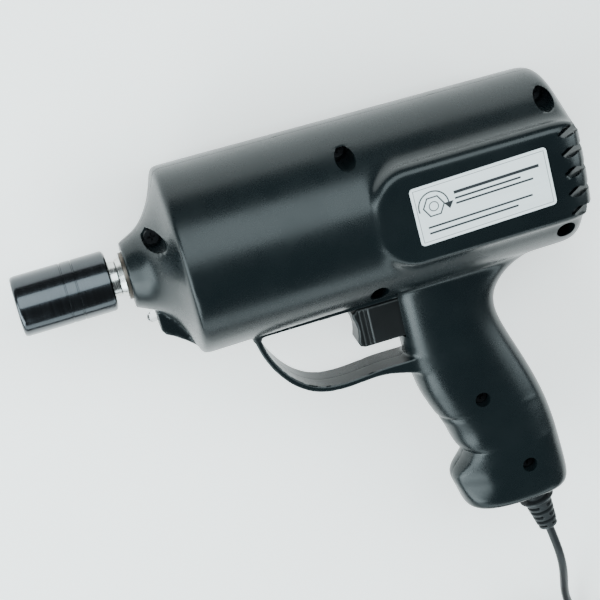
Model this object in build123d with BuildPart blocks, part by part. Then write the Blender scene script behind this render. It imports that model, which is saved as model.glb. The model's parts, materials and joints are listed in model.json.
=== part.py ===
from build123d import *
import math
import os

os.makedirs("parts", exist_ok=True)

# A 12 volt impact wrench with a half-inch square drive, lying on its right side.
# Stations run along the barrel axis from the nose face to the rear, heights run from that
# axis to the top of the tool, and depths run from its middle plane to its left side.

# Whole tool
SOCKET_FRONT = -55.5
REAR_END = 241.0
HALF_WIDTH = 48.6
BOOT_LOW = -209.48
TOOL = Plane(origin=(-(SOCKET_FRONT + REAR_END) / 2, -(HALF_WIDTH + BOOT_LOW) / 2, HALF_WIDTH))
BARREL = Axis(TOOL.origin, (1, 0, 0))
FLOOR = -HALF_WIDTH

# Fits
RUNNING = 0.05
GAP = 0.3

# Housing
BARREL_REAR_R = 46.0
BARREL_REAR = 220.0
WALL = 3.0
HUB_R = 14.5
PANEL_LEFT, PANEL_RIGHT = 121.0, 231.0
PANEL_LOW, PANEL_HIGH = -22.4, 29.5
PANEL_CORNER_R = 19.0
PANEL_REAR_R = 12.0
PANEL_EDGE_R = 3.0
GRIP_HALF = 17.0
GRIP_CORNER_R = 10.0
# Height, front edge and rear edge of the grip's sections
GRIP_SECTIONS = [
    (-30.0, 129.0, 222.0),
    (-46.5, 129.0, 204.0),
    (-56.0, 129.0, 187.0),
    (-71.0, 129.0, 181.0),
    (-90.0, 129.8, 185.4),
    (-110.0, 134.6, 192.4),
    (-128.0, 140.4, 198.0),
    (-146.0, 145.4, 200.4),
    (-162.0, 139.6, 201.4),
    (-176.0, 142.6, 201.2),
    (-186.6, 150.0, 192.0),
]
GUARD_HALF = 11.0
GUSSET_HALF = 7.0
RIB_STATIONS = (104.0, 160.0)
RIB_THICK = 3.0
VENT_COUNT, VENT_PITCH, VENT_WIDE = 5, 11.0, 5.5

# Housing screws: station and height, with the counterbores open to the left side
BARREL_SCREWS = [(17.0, 19.5), (116.0, 36.2), (219.7, 36.4), (216.7, -30.0), (118.0, -36.2)]
GRIP_SCREWS = [(161.2, -115.8), (179.0, -160.5)]
COLUMN_R, GRIP_COLUMN_R = 6.0, 5.2
COUNTERBORE_R, GRIP_COUNTERBORE_R = 4.9, 4.0
SCREW_FLOOR = 8.0
SCREW_R, SCREW_HEAD_R, SCREW_HEAD_LONG = 2.0, 3.7, 2.8
SCREW_END = -13.0
CLAMP_SCREWS = [(172.6, -174.0), (189.0, -174.0)]
CLAMP_SCREW_R = 1.4

# Output
DRIVE = 12.7
DRIVE_FRONT, DRIVE_REAR = -23.6, -7.1
SHAFT_R = 8.0
BUSH_R = 11.0
SOCKET_R = 15.5
SOCKET_REAR = -7.4
SOCKET_HEX = 21.0
HEX_DEEP = 27.0
ANVIL_DISC_R = 30.0
LUG_INNER_R = 23.0

# Rotor
ROTOR_R = 5.0
FLYWHEEL_R = 36.0
FLYWHEEL_FRONT, FLYWHEEL_REAR = 42.0, 73.0
DOG_FRONT, DOG_REAR = 33.5, 41.6
DOG_PIVOT_R = 14.5
DOG_INNER_R, DOG_OUTER_R = 10.0, 21.0
PIN_R = 2.5

# Motor
CAN_R, CAN_THICK = 29.5, 2.0
CAN_FRONT, CAN_REAR = 82.0, 172.0
BEARING_R, BEARING_LONG = 9.5, 7.0
MAGNET_INNER_R = 23.2
CORE_R = 22.6
CORE_FRONT, CORE_REAR = 100.0, 146.0
CORE_SLOTS = 12
COMMUTATOR_R = 10.0
COMMUTATOR_FRONT, COMMUTATOR_REAR = 154.0, 166.5
BRUSH_LONG, BRUSH_DEEP, BRUSH_WIDE = 8.0, 10.0, 6.0
BRUSH_MIDDLE = 160.5
FAN_R = 33.0
FAN_FRONT = 186.0
FAN_BLADES = 11

# Controls
TRIGGER_HALF = 8.0
TRIGGER_FRONT, TRIGGER_BACK = 105.0, 134.0
TRIGGER_HIGH, TRIGGER_LOW = -50.4, -72.0
STEM_HEIGHT = -61.0
SWITCH_FRONT = 144.0
SELECTOR_MIDDLE = 91.25

# Lamp
LAMP_HEIGHT = -24.9
LAMP_R = 2.6

# Cord, strain relief and coil
CORD_R = 2.4
BOOT_TOP = (181.9, -183.6)
BOOT_END = (186.5, -208.5)
COIL_CENTRE = (176.2, -338.0)
COIL_BASE = FLOOR + 0.7
COIL_PITCH = 4.9
COIL_MID_R = 26.5
COIL_ACROSS, COIL_LAYERS = 5, 4
COIL_INNER_R = COIL_MID_R - COIL_ACROSS * COIL_PITCH / 2
COIL_OUTER_R = COIL_MID_R + COIL_ACROSS * COIL_PITCH / 2
COIL_HIGH = COIL_LAYERS * COIL_PITCH
TIE_ANGLE = 115.0
TIE_WIDE = 6.0

# Cord routes, as station, height and depth
LEAD_ROUTE = [
    (186.5, -208.5, 0.0),
    (189.18, -223.0, 0.0),
    (191.2, -238.0, -4.4),
    (192.6, -252.4, -13.2),
    (194.2, -266.4, -24.0),
    (197.0, -280.4, -34.6),
    (201.6, -294.0, -42.6),
    (207.4, -307.2, -46.1),
    (213.6, -319.8, -46.2),
    (217.0, -332.2, -46.0),
    (216.8, -344.6, -45.6),
    (211.8, -355.4, -45.4),
]
TAIL_ROUTE = [
    (156.0, -372.8, -30.6),
    (144.6, -365.2, -32.0),
    (131.8, -359.6, -34.0),
    (118.4, -356.6, -35.6),
    (105.0, -356.0, -36.0),
]

# Plug
PLUG_HEIGHT, PLUG_DEPTH = -356.0, -36.0
PLUG_REAR = 105.0
HANDLE_R = 12.4
PLUG_FRONT_R = 10.3


def axial(station, height=0.0, depth=0.0):
    """A plane across the tool's length, with heights along its x and depths along its y."""
    return Plane(origin=TOOL.from_local_coords((station, height, depth)), x_dir=(0, 1, 0), z_dir=(1, 0, 0))


def side(depth=0.0):
    """A plane along the tool, with stations along its x and heights along its y."""
    return TOOL.offset(depth)


def place(station, height, depth=0.0):
    return TOOL.from_local_coords((station, height, depth))


def save(piece, label):
    piece.part.label = label
    export_step(piece.part, f"parts/{label}.step")


def outline(*points):
    """A closed straight-sided face in the sketch being made."""
    with BuildLine() as edge:
        Polyline(*points, close=True)
    make_face(edge.edges())


def turned(label, points):
    """A piece turned about the barrel axis from station and radius points."""
    with BuildPart() as piece:
        with BuildSketch(TOOL):
            outline(*points)
        revolve(axis=BARREL)
    save(piece, label)
    return piece


def ring(start, end, inner, outer):
    """Station and radius points of a plain ring."""
    return [(start, inner), (end, inner), (end, outer), (start, outer)]


def polar(radius, degrees):
    angle = math.radians(degrees)
    return radius * math.cos(angle), radius * math.sin(angle)


# ---------------------------------------------------------------- housing


def barrel_and_nose():
    with BuildSketch(TOOL) as face:
        with BuildLine():
            Line((1, 0), (1, 15.6))
            Line((1, 15.6), (2.6, 17.2))
            Spline((2.6, 17.2), (10, 21), (15, 25.8), (19.5, 32), (22.6, 38), (25.4, 45.6))
            ThreePointArc((25.4, 45.6), (26.5, 47.8), (28.8, HALF_WIDTH))
            Line((28.8, HALF_WIDTH), (BARREL_REAR, BARREL_REAR_R))
            ThreePointArc((BARREL_REAR, BARREL_REAR_R), (227.6, 43.4), (232.6, 36))
            ThreePointArc((232.6, 36), (238.9, 18), (REAR_END, 0))
            Line((REAR_END, 0), (1, 0))
        make_face()
    revolve(face.sketch, axis=BARREL)


def side_panels():
    with BuildPart(mode=Mode.PRIVATE) as panels:
        with BuildSketch(side()) as face:
            with Locations(((PANEL_LEFT + PANEL_RIGHT) / 2, (PANEL_LOW + PANEL_HIGH) / 2)):
                Rectangle(PANEL_RIGHT - PANEL_LEFT, PANEL_HIGH - PANEL_LOW)
            fillet(face.vertices().sort_by(Axis.X)[:2], PANEL_CORNER_R)
        extrude(amount=HALF_WIDTH, both=True)
        rear = panels.faces().sort_by(Axis.X)[-1]
        fillet(rear.edges().filter_by(Axis.Y), PANEL_REAR_R)
        left_face, right_face = panels.faces().sort_by(Axis.Z)[-1], panels.faces().sort_by(Axis.Z)[0]
        rims = [e for f in (left_face, right_face) for e in f.edges().sort_by(Axis.X)[:-1]]
        fillet(rims, PANEL_EDGE_R)
    add(panels.part)


def grip_block(inset=0.0):
    """The grip, lofted through rounded sections that are drawn inside its true edge by an inset."""
    with BuildPart(mode=Mode.PRIVATE) as grip:
        for height, front, rear in GRIP_SECTIONS:
            level = max(height, GRIP_SECTIONS[-1][0] + inset)
            middle = place((front + rear) / 2, level)
            with BuildSketch(Plane(origin=middle, x_dir=(1, 0, 0), z_dir=(0, -1, 0))):
                RectangleRounded(rear - front - 2 * inset, 2 * (GRIP_HALF - inset), GRIP_CORNER_R - inset)
        loft()
    return grip.part


def trigger_guard():
    with BuildSketch(side()) as face:
        with BuildLine():
            Line((50, -44), (51.6, -48.5))
            Spline(
                (51.6, -48.5), (54.3, -57), (60.9, -71.7), (71.5, -82.3), (82, -87.6), (94, -88.9),
                (116, -88.3), (126, -91), (136, -97),
            )
            Line((136, -97), (136, -78))
            Line((136, -78), (126, -80.6))
            Spline(
                (126, -80.6), (116, -84), (104, -85.8), (92, -86), (82, -84.9), (73, -80.8), (65.4, -73.5),
                (60, -64), (57.8, -54), (58.6, -44),
            )
            Line((58.6, -44), (50, -44))
        make_face()
    extrude(face.sketch, amount=GUARD_HALF, both=True)


def lamp_gusset():
    with BuildSketch(side()) as face:
        outline(
            (9.7, -15), (9.9, -31.5), (11.5, -34), (15.6, -36.4), (20.6, -40.2), (26, -45), (34, -45),
            (34, -15),
        )
    extrude(face.sketch, amount=GUSSET_HALF, both=True)


def screw_columns(places, radius):
    with BuildSketch(side()) as face:
        with Locations(*places):
            Circle(radius)
    extrude(face.sketch, amount=HALF_WIDTH, both=True, mode=Mode.SUBTRACT)


def hollow_inside():
    """The room inside the housing, left free between its walls, columns and ribs."""
    with BuildPart() as hollow:
        with BuildSketch(TOOL):
            outline(
                (25, 0), (25, HUB_R), (11.5, HUB_R), (12.5, 19), (17, 24), (21, 30.5), (24.5, 37.5),
                (27.2, 43),
                (30.5, 45.5), (218, 43), (223, 41.2), (228.5, 35.6), (235.6, 16), (237.8, 0),
            )
        revolve(axis=BARREL)
        with BuildSketch(side()):
            with Locations(((PANEL_LEFT + PANEL_RIGHT) / 2 - 1, (PANEL_LOW + PANEL_HIGH) / 2)):
                RectangleRounded(PANEL_RIGHT - PANEL_LEFT - 14, PANEL_HIGH - PANEL_LOW - 8, 14)
        extrude(amount=HALF_WIDTH - WALL, both=True)
        add(grip_block(WALL))
        screw_columns(BARREL_SCREWS, COLUMN_R)
        screw_columns(GRIP_SCREWS, GRIP_COLUMN_R)
        motor_ribs()
        switch_ribs()
        clamp_posts()
    return hollow


def motor_ribs():
    """Rings that hold the motor, each with a gap below it for the wires."""
    for station in RIB_STATIONS:
        with BuildSketch(axial(station)) as face:
            Circle(HALF_WIDTH - 1)
            Circle(CAN_R + 0.1, mode=Mode.SUBTRACT)
            with Locations((-37.5, 0)):
                Rectangle(13, 10, mode=Mode.SUBTRACT)
        extrude(face.sketch, amount=RIB_THICK, mode=Mode.SUBTRACT)


def switch_ribs():
    for station in (150.0, 162.0):
        for depth in (9.1, -GRIP_HALF):
            with BuildSketch(side(depth)) as face:
                with Locations((station, -69)):
                    Rectangle(2, 22)
            extrude(face.sketch, amount=GRIP_HALF - 9.1, mode=Mode.SUBTRACT)


def clamp_posts():
    with BuildSketch(side(-GRIP_HALF)) as face:
        with Locations(*CLAMP_SCREWS):
            Circle(2.8)
    extrude(face.sketch, amount=GRIP_HALF, mode=Mode.SUBTRACT)


def screw_holes():
    for places, bore in ((BARREL_SCREWS, COUNTERBORE_R), (GRIP_SCREWS, GRIP_COUNTERBORE_R)):
        with BuildSketch(side(SCREW_FLOOR)) as face:
            with Locations(*places):
                Circle(bore)
        extrude(face.sketch, amount=HALF_WIDTH, mode=Mode.SUBTRACT)
        with BuildSketch(side(SCREW_END)) as face:
            with Locations(*places):
                Circle(SCREW_R)
        extrude(face.sketch, amount=SCREW_FLOOR - SCREW_END, mode=Mode.SUBTRACT)
    with BuildSketch(side(-9)) as face:
        with Locations(*CLAMP_SCREWS):
            Circle(CLAMP_SCREW_R)
    extrude(face.sketch, amount=11, mode=Mode.SUBTRACT)


def vents():
    """Notches through the rear corner of each side panel."""
    middle = (PANEL_LOW + PANEL_HIGH) / 2 - 1.5
    heights = [middle + (i - (VENT_COUNT - 1) / 2) * VENT_PITCH for i in range(VENT_COUNT)]
    for depth in (HALF_WIDTH - 9, -HALF_WIDTH - 1):
        with BuildSketch(side(depth)) as face:
            with Locations(*[(223.5, height) for height in heights]):
                Rectangle(7, VENT_WIDE)
        extrude(face.sketch, amount=10, mode=Mode.SUBTRACT)


def control_openings():
    with BuildSketch(side()) as face:
        with Locations(((120 + 141) / 2, (TRIGGER_HIGH + TRIGGER_LOW) / 2)):
            Rectangle(21, TRIGGER_HIGH - TRIGGER_LOW + 1)
    extrude(face.sketch, amount=TRIGGER_HALF + 0.4, both=True, mode=Mode.SUBTRACT)
    with BuildSketch(side()) as face:
        with Locations((SELECTOR_MIDDLE, -46)):
            Rectangle(7.5, 8)
    extrude(face.sketch, amount=7.2, both=True, mode=Mode.SUBTRACT)


def axial_openings():
    """The nose bush seat, the lamp's seat and its wire way."""
    with BuildSketch(axial(0)) as face:
        Circle(BUSH_R)
    extrude(face.sketch, amount=26, mode=Mode.SUBTRACT)
    with BuildSketch(axial(8, LAMP_HEIGHT)) as face:
        Circle(LAMP_R)
    extrude(face.sketch, amount=8.2, mode=Mode.SUBTRACT)
    with BuildSketch(axial(16, LAMP_HEIGHT)) as face:
        Circle(2)
    extrude(face.sketch, amount=8, mode=Mode.SUBTRACT)


def boot_plane(along=0.0):
    """A plane across the strain relief's tilted axis, a distance down from its top."""
    top, end = place(*BOOT_TOP), place(*BOOT_END)
    axis = (end - top).normalized()
    return Plane(origin=top + axis * along, x_dir=(0, 0, 1), z_dir=tuple(axis))


def housing():
    hollow = hollow_inside()
    with BuildPart() as shell:
        barrel_and_nose()
        side_panels()
        add(grip_block())
        trigger_guard()
        lamp_gusset()
        add(hollow.part, mode=Mode.SUBTRACT)
        screw_holes()
        vents()
        control_openings()
        axial_openings()
        with BuildSketch(boot_plane(-3)):
            Circle(6.5)
        extrude(amount=12, mode=Mode.SUBTRACT)
    with BuildPart() as housing_left:
        add(shell.part)
        split(bisect_by=TOOL, keep=Keep.TOP)
    with BuildPart() as housing_right:
        add(shell.part)
        split(bisect_by=TOOL, keep=Keep.BOTTOM)
    save(housing_left, "housing_left")
    save(housing_right, "housing_right")


def screws(label, places, head_floor, head_r, head_long, shank_r, shank_end):
    """Cross-recessed screws, heads to the left side."""
    with BuildPart() as piece:
        with BuildSketch(side(shank_end)):
            with Locations(*places):
                Circle(shank_r)
        extrude(amount=head_floor - shank_end)
        with BuildSketch(side(head_floor)):
            with Locations(*places):
                Circle(head_r)
        extrude(amount=head_long)
        with BuildSketch(side(head_floor + head_long)):
            with Locations(*places):
                Rectangle(head_r * 1.1, head_r * 0.28)
                Rectangle(head_r * 0.28, head_r * 1.1)
        extrude(amount=-head_long * 0.6, mode=Mode.SUBTRACT)
    save(piece, label)


def rating_label():
    with BuildPart() as label:
        with BuildSketch(side(HALF_WIDTH)):
            with Locations((175, 4.3)):
                RectangleRounded(70.5, 30, 2, rotation=1.5)
        extrude(amount=0.35)
    save(label, "rating_label")


# ---------------------------------------------------------------- output


def nose_bush():
    bore = SHAFT_R + RUNNING
    turned("nose_bush", [(-0.6, bore), (24, bore), (24, BUSH_R), (1, BUSH_R), (1, 12), (-0.6, 12)])


def anvil():
    with BuildPart() as anvil:
        with BuildSketch(TOOL):
            outline(
                (DRIVE_REAR, 0), (DRIVE_REAR, 9), (-4, 9), (-3.4, 9.4), (-0.9, 10.3), (-0.9, SHAFT_R),
                (26.6, SHAFT_R),
                (26.6, ANVIL_DISC_R - 1), (27.6, ANVIL_DISC_R), (32, ANVIL_DISC_R), (32, 7.5),
                (24, 7.5), (24, 0),
            )
        revolve(axis=BARREL)
        with BuildSketch(axial(DRIVE_FRONT)):
            RectangleRounded(DRIVE, DRIVE, 1)
        extrude(amount=DRIVE_REAR - DRIVE_FRONT + 1)
        chamfer(anvil.faces().sort_by(Axis.X)[0].edges(), 1)
        with BuildSketch(TOOL):
            outline(*ring(-20.6, -18.4, 5.4, 12))
        revolve(axis=BARREL, mode=Mode.SUBTRACT)
        striking_lug()
    save(anvil, "anvil")


def striking_lug():
    """The block on the anvil's rim that the dog strikes."""
    with BuildSketch(axial(31)) as face:
        sector(LUG_INNER_R, ANVIL_DISC_R - 0.2, 292, 328)
    extrude(face.sketch, amount=10)


def sector(inner, outer, start, end):
    """A ring segment in a sketch across the axis, between two angles in degrees."""
    middle = (start + end) / 2
    with BuildLine() as edge:
        ThreePointArc(polar(outer, start), polar(outer, middle), polar(outer, end))
        Line(polar(outer, end), polar(inner, end))
        ThreePointArc(polar(inner, end), polar(inner, middle), polar(inner, start))
        Line(polar(inner, start), polar(outer, start))
    make_face(edge.edges())


def friction_ring():
    with BuildPart() as ring_part:
        with BuildSketch(axial(-20.4)):
            sector(5.5, 6.35, 30, 330)
        extrude(amount=1.8)
    save(ring_part, "friction_ring")


def impact_socket():
    with BuildPart() as socket:
        with BuildSketch(axial(SOCKET_FRONT)):
            Circle(SOCKET_R)
            RegularPolygon(SOCKET_HEX / 2, 6, major_radius=False, mode=Mode.SUBTRACT)
        extrude(amount=HEX_DEEP)
        with BuildSketch(axial(SOCKET_FRONT + HEX_DEEP)):
            Circle(SOCKET_R)
            Circle(8.5, mode=Mode.SUBTRACT)
        extrude(amount=4)
        with BuildSketch(axial(SOCKET_FRONT + HEX_DEEP + 4)):
            Circle(SOCKET_R)
            Rectangle(DRIVE + 0.3, DRIVE + 0.3, mode=Mode.SUBTRACT)
        extrude(amount=SOCKET_REAR - SOCKET_FRONT - HEX_DEEP - 4)
        rims = socket.edges().filter_by(GeomType.CIRCLE).filter_by(lambda e: abs(e.radius - SOCKET_R) < 0.01)
        ends = rims.sort_by(Axis.X)
        fillet([ends[0], ends[-1]], 1.2)
    save(socket, "impact_socket")


# ---------------------------------------------------------------- rotor


def flywheel():
    with BuildPart() as wheel:
        with BuildSketch(TOOL):
            outline(
                (FLYWHEEL_FRONT, ROTOR_R), (FLYWHEEL_FRONT, FLYWHEEL_R - 1),
                (FLYWHEEL_FRONT + 1, FLYWHEEL_R),
                (FLYWHEEL_REAR - 1, FLYWHEEL_R), (FLYWHEEL_REAR, FLYWHEEL_R - 1), (FLYWHEEL_REAR, 26),
                (60, 26), (60, 12), (FLYWHEEL_REAR, 12), (FLYWHEEL_REAR, ROTOR_R),
            )
        revolve(axis=BARREL)
        with BuildSketch(axial(FLYWHEEL_FRONT)):
            with Locations(polar(DOG_PIVOT_R, 60)):
                Circle(PIN_R)
        extrude(amount=12, mode=Mode.SUBTRACT)
    save(wheel, "flywheel")


def striker_dog():
    """The hinged striker: at speed its free end swings out to meet the anvil's lug."""
    pivot = polar(DOG_PIVOT_R, 60)
    with BuildPart() as dog:
        with BuildSketch(axial(DOG_FRONT)):
            sector(DOG_INNER_R, DOG_OUTER_R, 60, 205)
            with Locations(pivot):
                Circle(5.5)
                Circle(PIN_R + RUNNING, mode=Mode.SUBTRACT)
        extrude(amount=DOG_REAR - DOG_FRONT)
    save(dog, "striker_dog")


def striker_pin():
    with BuildPart() as pin:
        with BuildSketch(axial(DOG_FRONT - 0.8)):
            with Locations(polar(DOG_PIVOT_R, 60)):
                Circle(PIN_R)
        extrude(amount=20)
    save(pin, "striker_pin")


def striker_spring():
    with BuildPart() as spring:
        with BuildSketch(axial(DOG_FRONT + 1.5)):
            sector(7.6, 8.6, 40, 320)
        extrude(amount=5)
    save(spring, "striker_spring")


def armature_core():
    with BuildPart() as core:
        with BuildSketch(axial(CORE_FRONT)):
            Circle(CORE_R)
            Circle(ROTOR_R, mode=Mode.SUBTRACT)
            with PolarLocations(16.5, CORE_SLOTS):
                Rectangle(8, 4.4, mode=Mode.SUBTRACT)
            with PolarLocations(21, CORE_SLOTS):
                Rectangle(5, 1.6, mode=Mode.SUBTRACT)
        extrude(amount=CORE_REAR - CORE_FRONT)
    save(core, "armature_core")


def armature_windings():
    """Copper bars in the core's slots, joined by the rings of end turns."""
    with BuildPart() as windings:
        with BuildSketch(axial(CORE_FRONT - GAP)):
            with PolarLocations(16.5, CORE_SLOTS):
                Rectangle(7.6, 4.0)
        extrude(amount=CORE_REAR - CORE_FRONT + 2 * GAP)
        for start, end in ((CORE_FRONT - 6, CORE_FRONT - GAP), (CORE_REAR + GAP, CORE_REAR + 6)):
            with BuildSketch(TOOL):
                with BuildLine():
                    Polyline(
                        (start, 9), (end, 9), (end, 20.6), (start + 1.5, 20.6), (start, 18.6), close=True
                    )
                make_face()
            revolve(axis=BARREL)
    save(windings, "armature_windings")


def commutator():
    with BuildPart() as segments:
        with BuildSketch(axial(COMMUTATOR_FRONT)):
            Circle(COMMUTATOR_R)
            Circle(ROTOR_R, mode=Mode.SUBTRACT)
            with PolarLocations(COMMUTATOR_R, CORE_SLOTS):
                Rectangle(2.4, 0.5, mode=Mode.SUBTRACT)
        extrude(amount=COMMUTATOR_REAR - COMMUTATOR_FRONT)
    save(segments, "commutator")


def cooling_fan():
    with BuildPart() as fan:
        with BuildSketch(axial(FAN_FRONT)):
            Circle(FAN_R)
            Circle(ROTOR_R, mode=Mode.SUBTRACT)
        extrude(amount=1.6)
        with BuildSketch(axial(FAN_FRONT)):
            Circle(9)
            Circle(ROTOR_R, mode=Mode.SUBTRACT)
        extrude(amount=9)
        with BuildSketch(axial(FAN_FRONT + 1.6)):
            with PolarLocations(20, FAN_BLADES):
                Rectangle(24, 1.5, rotation=18)
        extrude(amount=7)
    save(fan, "cooling_fan")


# ---------------------------------------------------------------- motor


def bearing(label, start):
    """A ball bearing: two races and a ring of balls, as separate solids."""
    with BuildPart() as races:
        with BuildSketch(TOOL):
            outline(*ring(start, start + BEARING_LONG, ROTOR_R + RUNNING, 6.3))
            outline(*ring(start, start + BEARING_LONG, 8.2, BEARING_R))
        revolve(axis=BARREL)
        with Locations(axial(start + BEARING_LONG / 2)):
            with PolarLocations(7.25, 9):
                Sphere(0.9)
    save(races, label)


def motor_can():
    turned(
        "motor_can",
        [
            (CAN_FRONT, BEARING_R), (CAN_FRONT, CAN_R - 2), (CAN_FRONT + 2, CAN_R), (CAN_REAR, CAN_R),
            (CAN_REAR, CAN_R - CAN_THICK), (CAN_FRONT + 3, CAN_R - CAN_THICK), (CAN_FRONT + 3, BEARING_R),
        ],
    )


def field_magnets():
    with BuildPart() as magnets:
        for middle in (0, 180):
            with BuildSketch(axial(96)):
                sector(MAGNET_INNER_R, CAN_R - CAN_THICK, middle - 62, middle + 62)
            extrude(amount=54)
    save(magnets, "field_magnets")


def motor_end_bell():
    with BuildPart() as bell:
        with BuildSketch(TOOL):
            outline(
                (CAN_REAR, BEARING_R), (CAN_REAR, CAN_R), (176, CAN_R), (176, 13), (179, 13), (179, BEARING_R)
            )
        revolve(axis=BARREL)
        with BuildSketch(axial(CAN_REAR)):
            with Locations((0, 25.3), (0, -25.3)):
                Circle(1.9)
            with PolarLocations(19, 6, start_angle=30):
                Circle(2.4)
        extrude(amount=4, mode=Mode.SUBTRACT)
    save(bell, "motor_end_bell")


def motor_screws():
    with BuildPart() as piece:
        with BuildSketch(axial(CAN_FRONT + 3)):
            with Locations((0, 25.3), (0, -25.3)):
                Circle(1.9)
        extrude(amount=176 - CAN_FRONT - 3)
        with BuildSketch(axial(176)):
            with Locations((0, 25.3), (0, -25.3)):
                Circle(3.5)
        extrude(amount=2.5)
        with BuildSketch(axial(178.5)):
            with Locations((0, 25.3), (0, -25.3)):
                Rectangle(5, 0.9)
        extrude(amount=-1.2, mode=Mode.SUBTRACT)
    save(piece, "motor_screws")


def brush_card():
    with BuildPart() as card:
        with BuildSketch(axial(167.4)):
            Circle(CAN_R - CAN_THICK)
            Circle(11, mode=Mode.SUBTRACT)
            with Locations((0, 25.3), (0, -25.3)):
                Circle(2.0, mode=Mode.SUBTRACT)
        extrude(amount=2)
    save(card, "brush_card")


def brush_sides():
    """Height direction of each brush: above and below the commutator."""
    return (("upper", 1), ("lower", -1))


def brush_holders():
    with BuildPart() as holders:
        for _, way in brush_sides():
            with BuildSketch(axial(BRUSH_MIDDLE - BRUSH_LONG / 2 - 1.1)):
                with Locations((way * 19.2, 0)):
                    Rectangle(14.4, BRUSH_WIDE + 2)
            extrude(amount=BRUSH_LONG + 4)
            with BuildSketch(axial(BRUSH_MIDDLE - BRUSH_LONG / 2 - 0.1)):
                with Locations((way * 18.6, 0)):
                    Rectangle(14, BRUSH_WIDE + 0.2)
            extrude(amount=BRUSH_LONG + 0.2, mode=Mode.SUBTRACT)
    save(holders, "brush_holders")


def brushes():
    for name, way in brush_sides():
        inner = COMMUTATOR_R + RUNNING
        with BuildPart() as brush:
            with BuildSketch(axial(BRUSH_MIDDLE - BRUSH_LONG / 2)):
                with Locations((way * (inner + BRUSH_DEEP / 2), 0)):
                    Rectangle(BRUSH_DEEP, BRUSH_WIDE)
            extrude(amount=BRUSH_LONG)
        save(brush, f"{name}_brush")


def coil_spring(label, base, length, radius, wire, turns):
    """A round-wire coil spring standing on a plane."""
    pitch = (length - 2 * wire) / turns
    with BuildPart() as spring:
        with BuildLine() as line:
            Helix(pitch, pitch * turns, radius, center=base.offset(wire).origin, direction=base.z_dir)
        start = line.edges()[0]
        with BuildSketch(Plane(origin=start @ 0, z_dir=start % 0)):
            Circle(wire / 2)
        sweep(path=line.wires()[0], is_frenet=True)
    save(spring, label)


def brush_springs():
    for name, way in brush_sides():
        start = COMMUTATOR_R + RUNNING + BRUSH_DEEP
        seat = Plane(origin=place(BRUSH_MIDDLE, way * start), x_dir=(1, 0, 0), z_dir=(0, way, 0))
        coil_spring(f"{name}_brush_spring", seat, 25.2 - start, 2.1, 0.5, 5)


# ---------------------------------------------------------------- controls


def trigger():
    with BuildPart() as trigger:
        with BuildSketch(side()):
            outline(
                (TRIGGER_FRONT + 3, TRIGGER_HIGH), (TRIGGER_FRONT, TRIGGER_HIGH - 3),
                (TRIGGER_FRONT + 1.6, -60),
                (TRIGGER_FRONT + 0.8, -68), (TRIGGER_FRONT + 4, TRIGGER_LOW), (TRIGGER_BACK, TRIGGER_LOW),
                (TRIGGER_BACK, TRIGGER_HIGH),
            )
        extrude(amount=TRIGGER_HALF, both=True)
        with BuildSketch(axial(TRIGGER_BACK, STEM_HEIGHT)):
            Circle(2.4)
        extrude(amount=6)
        with BuildSketch(side()):
            with Locations((TRIGGER_BACK, -67), (TRIGGER_BACK, -54.6)):
                Rectangle(20, 6)
        extrude(amount=TRIGGER_HALF - 2, both=True, mode=Mode.SUBTRACT)
        front = trigger.faces().sort_by(Axis.X)[:2]
        rims = [e for f in front for e in f.edges() if abs(e.center().Z - HALF_WIDTH) > 7]
        fillet(rims, 1.6)
    save(trigger, "trigger")


def trigger_switch():
    with BuildPart() as switch:
        with BuildSketch(side()):
            outline((SWITCH_FRONT, -56), (168, -56), (170, -60), (170, -82), (SWITCH_FRONT, -82))
        extrude(amount=9, both=True)
        with BuildSketch(axial(SWITCH_FRONT, STEM_HEIGHT)):
            Circle(2.6)
        extrude(amount=5, mode=Mode.SUBTRACT)
    save(switch, "trigger_switch")


def direction_selector():
    with BuildPart() as selector:
        with BuildSketch(side()):
            with Locations((SELECTOR_MIDDLE, -49.8)):
                Rectangle(9.5, 2)
        extrude(amount=4.5, both=True)
        with BuildSketch(side()):
            with Locations((SELECTOR_MIDDLE, -45.4)):
                Rectangle(5.5, 6.8)
        extrude(amount=3.4, both=True)
        with BuildSketch(side()):
            with Locations((SELECTOR_MIDDLE, -41.9)):
                Rectangle(14, 1.6)
        extrude(amount=6.5, both=True)
    save(selector, "direction_selector")


def reversing_switch():
    with BuildPart() as switch:
        with BuildSketch(side()):
            with Locations((SELECTOR_MIDDLE - 8, -36.8)):
                Rectangle(11, 7)
        extrude(amount=8, both=True)
    save(switch, "reversing_switch")


def suppression_capacitor():
    with BuildPart() as can:
        with BuildSketch(axial(140, -37)):
            Circle(4)
        extrude(amount=14)
        fillet(can.edges().filter_by(GeomType.CIRCLE), 0.8)
    save(can, "suppression_capacitor")


def wires(label, routes, wire_r, bend_r):
    """Wires as separate solids, each through its own list of places."""
    with BuildPart() as piece:
        for route in routes:
            points = [place(*point) for point in route]
            with BuildLine() as path:
                FilletPolyline(*points, radius=bend_r)
            line = path.wires()[0]
            with BuildSketch(Plane(origin=line @ 0, z_dir=line % 0)):
                Circle(wire_r)
            sweep(path=line)
    save(piece, label)


def motor_leads():
    routes = [
        [(166, -55.8, z), (166, -47, z), (174.2, -41, z), (174.2, -29.8, z)] for z in (-4, 4)
    ]
    wires("motor_leads", routes, 1.1, 3.5)


def selector_leads():
    routes = [
        [
            (89.2, -37, z), (99, -40.6, z / 2), (110, -43.1, z / 2), (133.4, -43.1, z / 2), (147, -50, z),
            (147, -55.8, z),
        ]
        for z in (-2.4, 2.4)
    ]
    wires("selector_leads", routes, 0.8, 3)


def lamp_bulb():
    turned_at(
        "lamp_bulb", LAMP_HEIGHT,
        [(16, 0), (16, LAMP_R), (9.2, LAMP_R), (6.9, LAMP_R), (5.6, 1.9), (4.9, 0.8), (4.8, 0)],
    )


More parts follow.
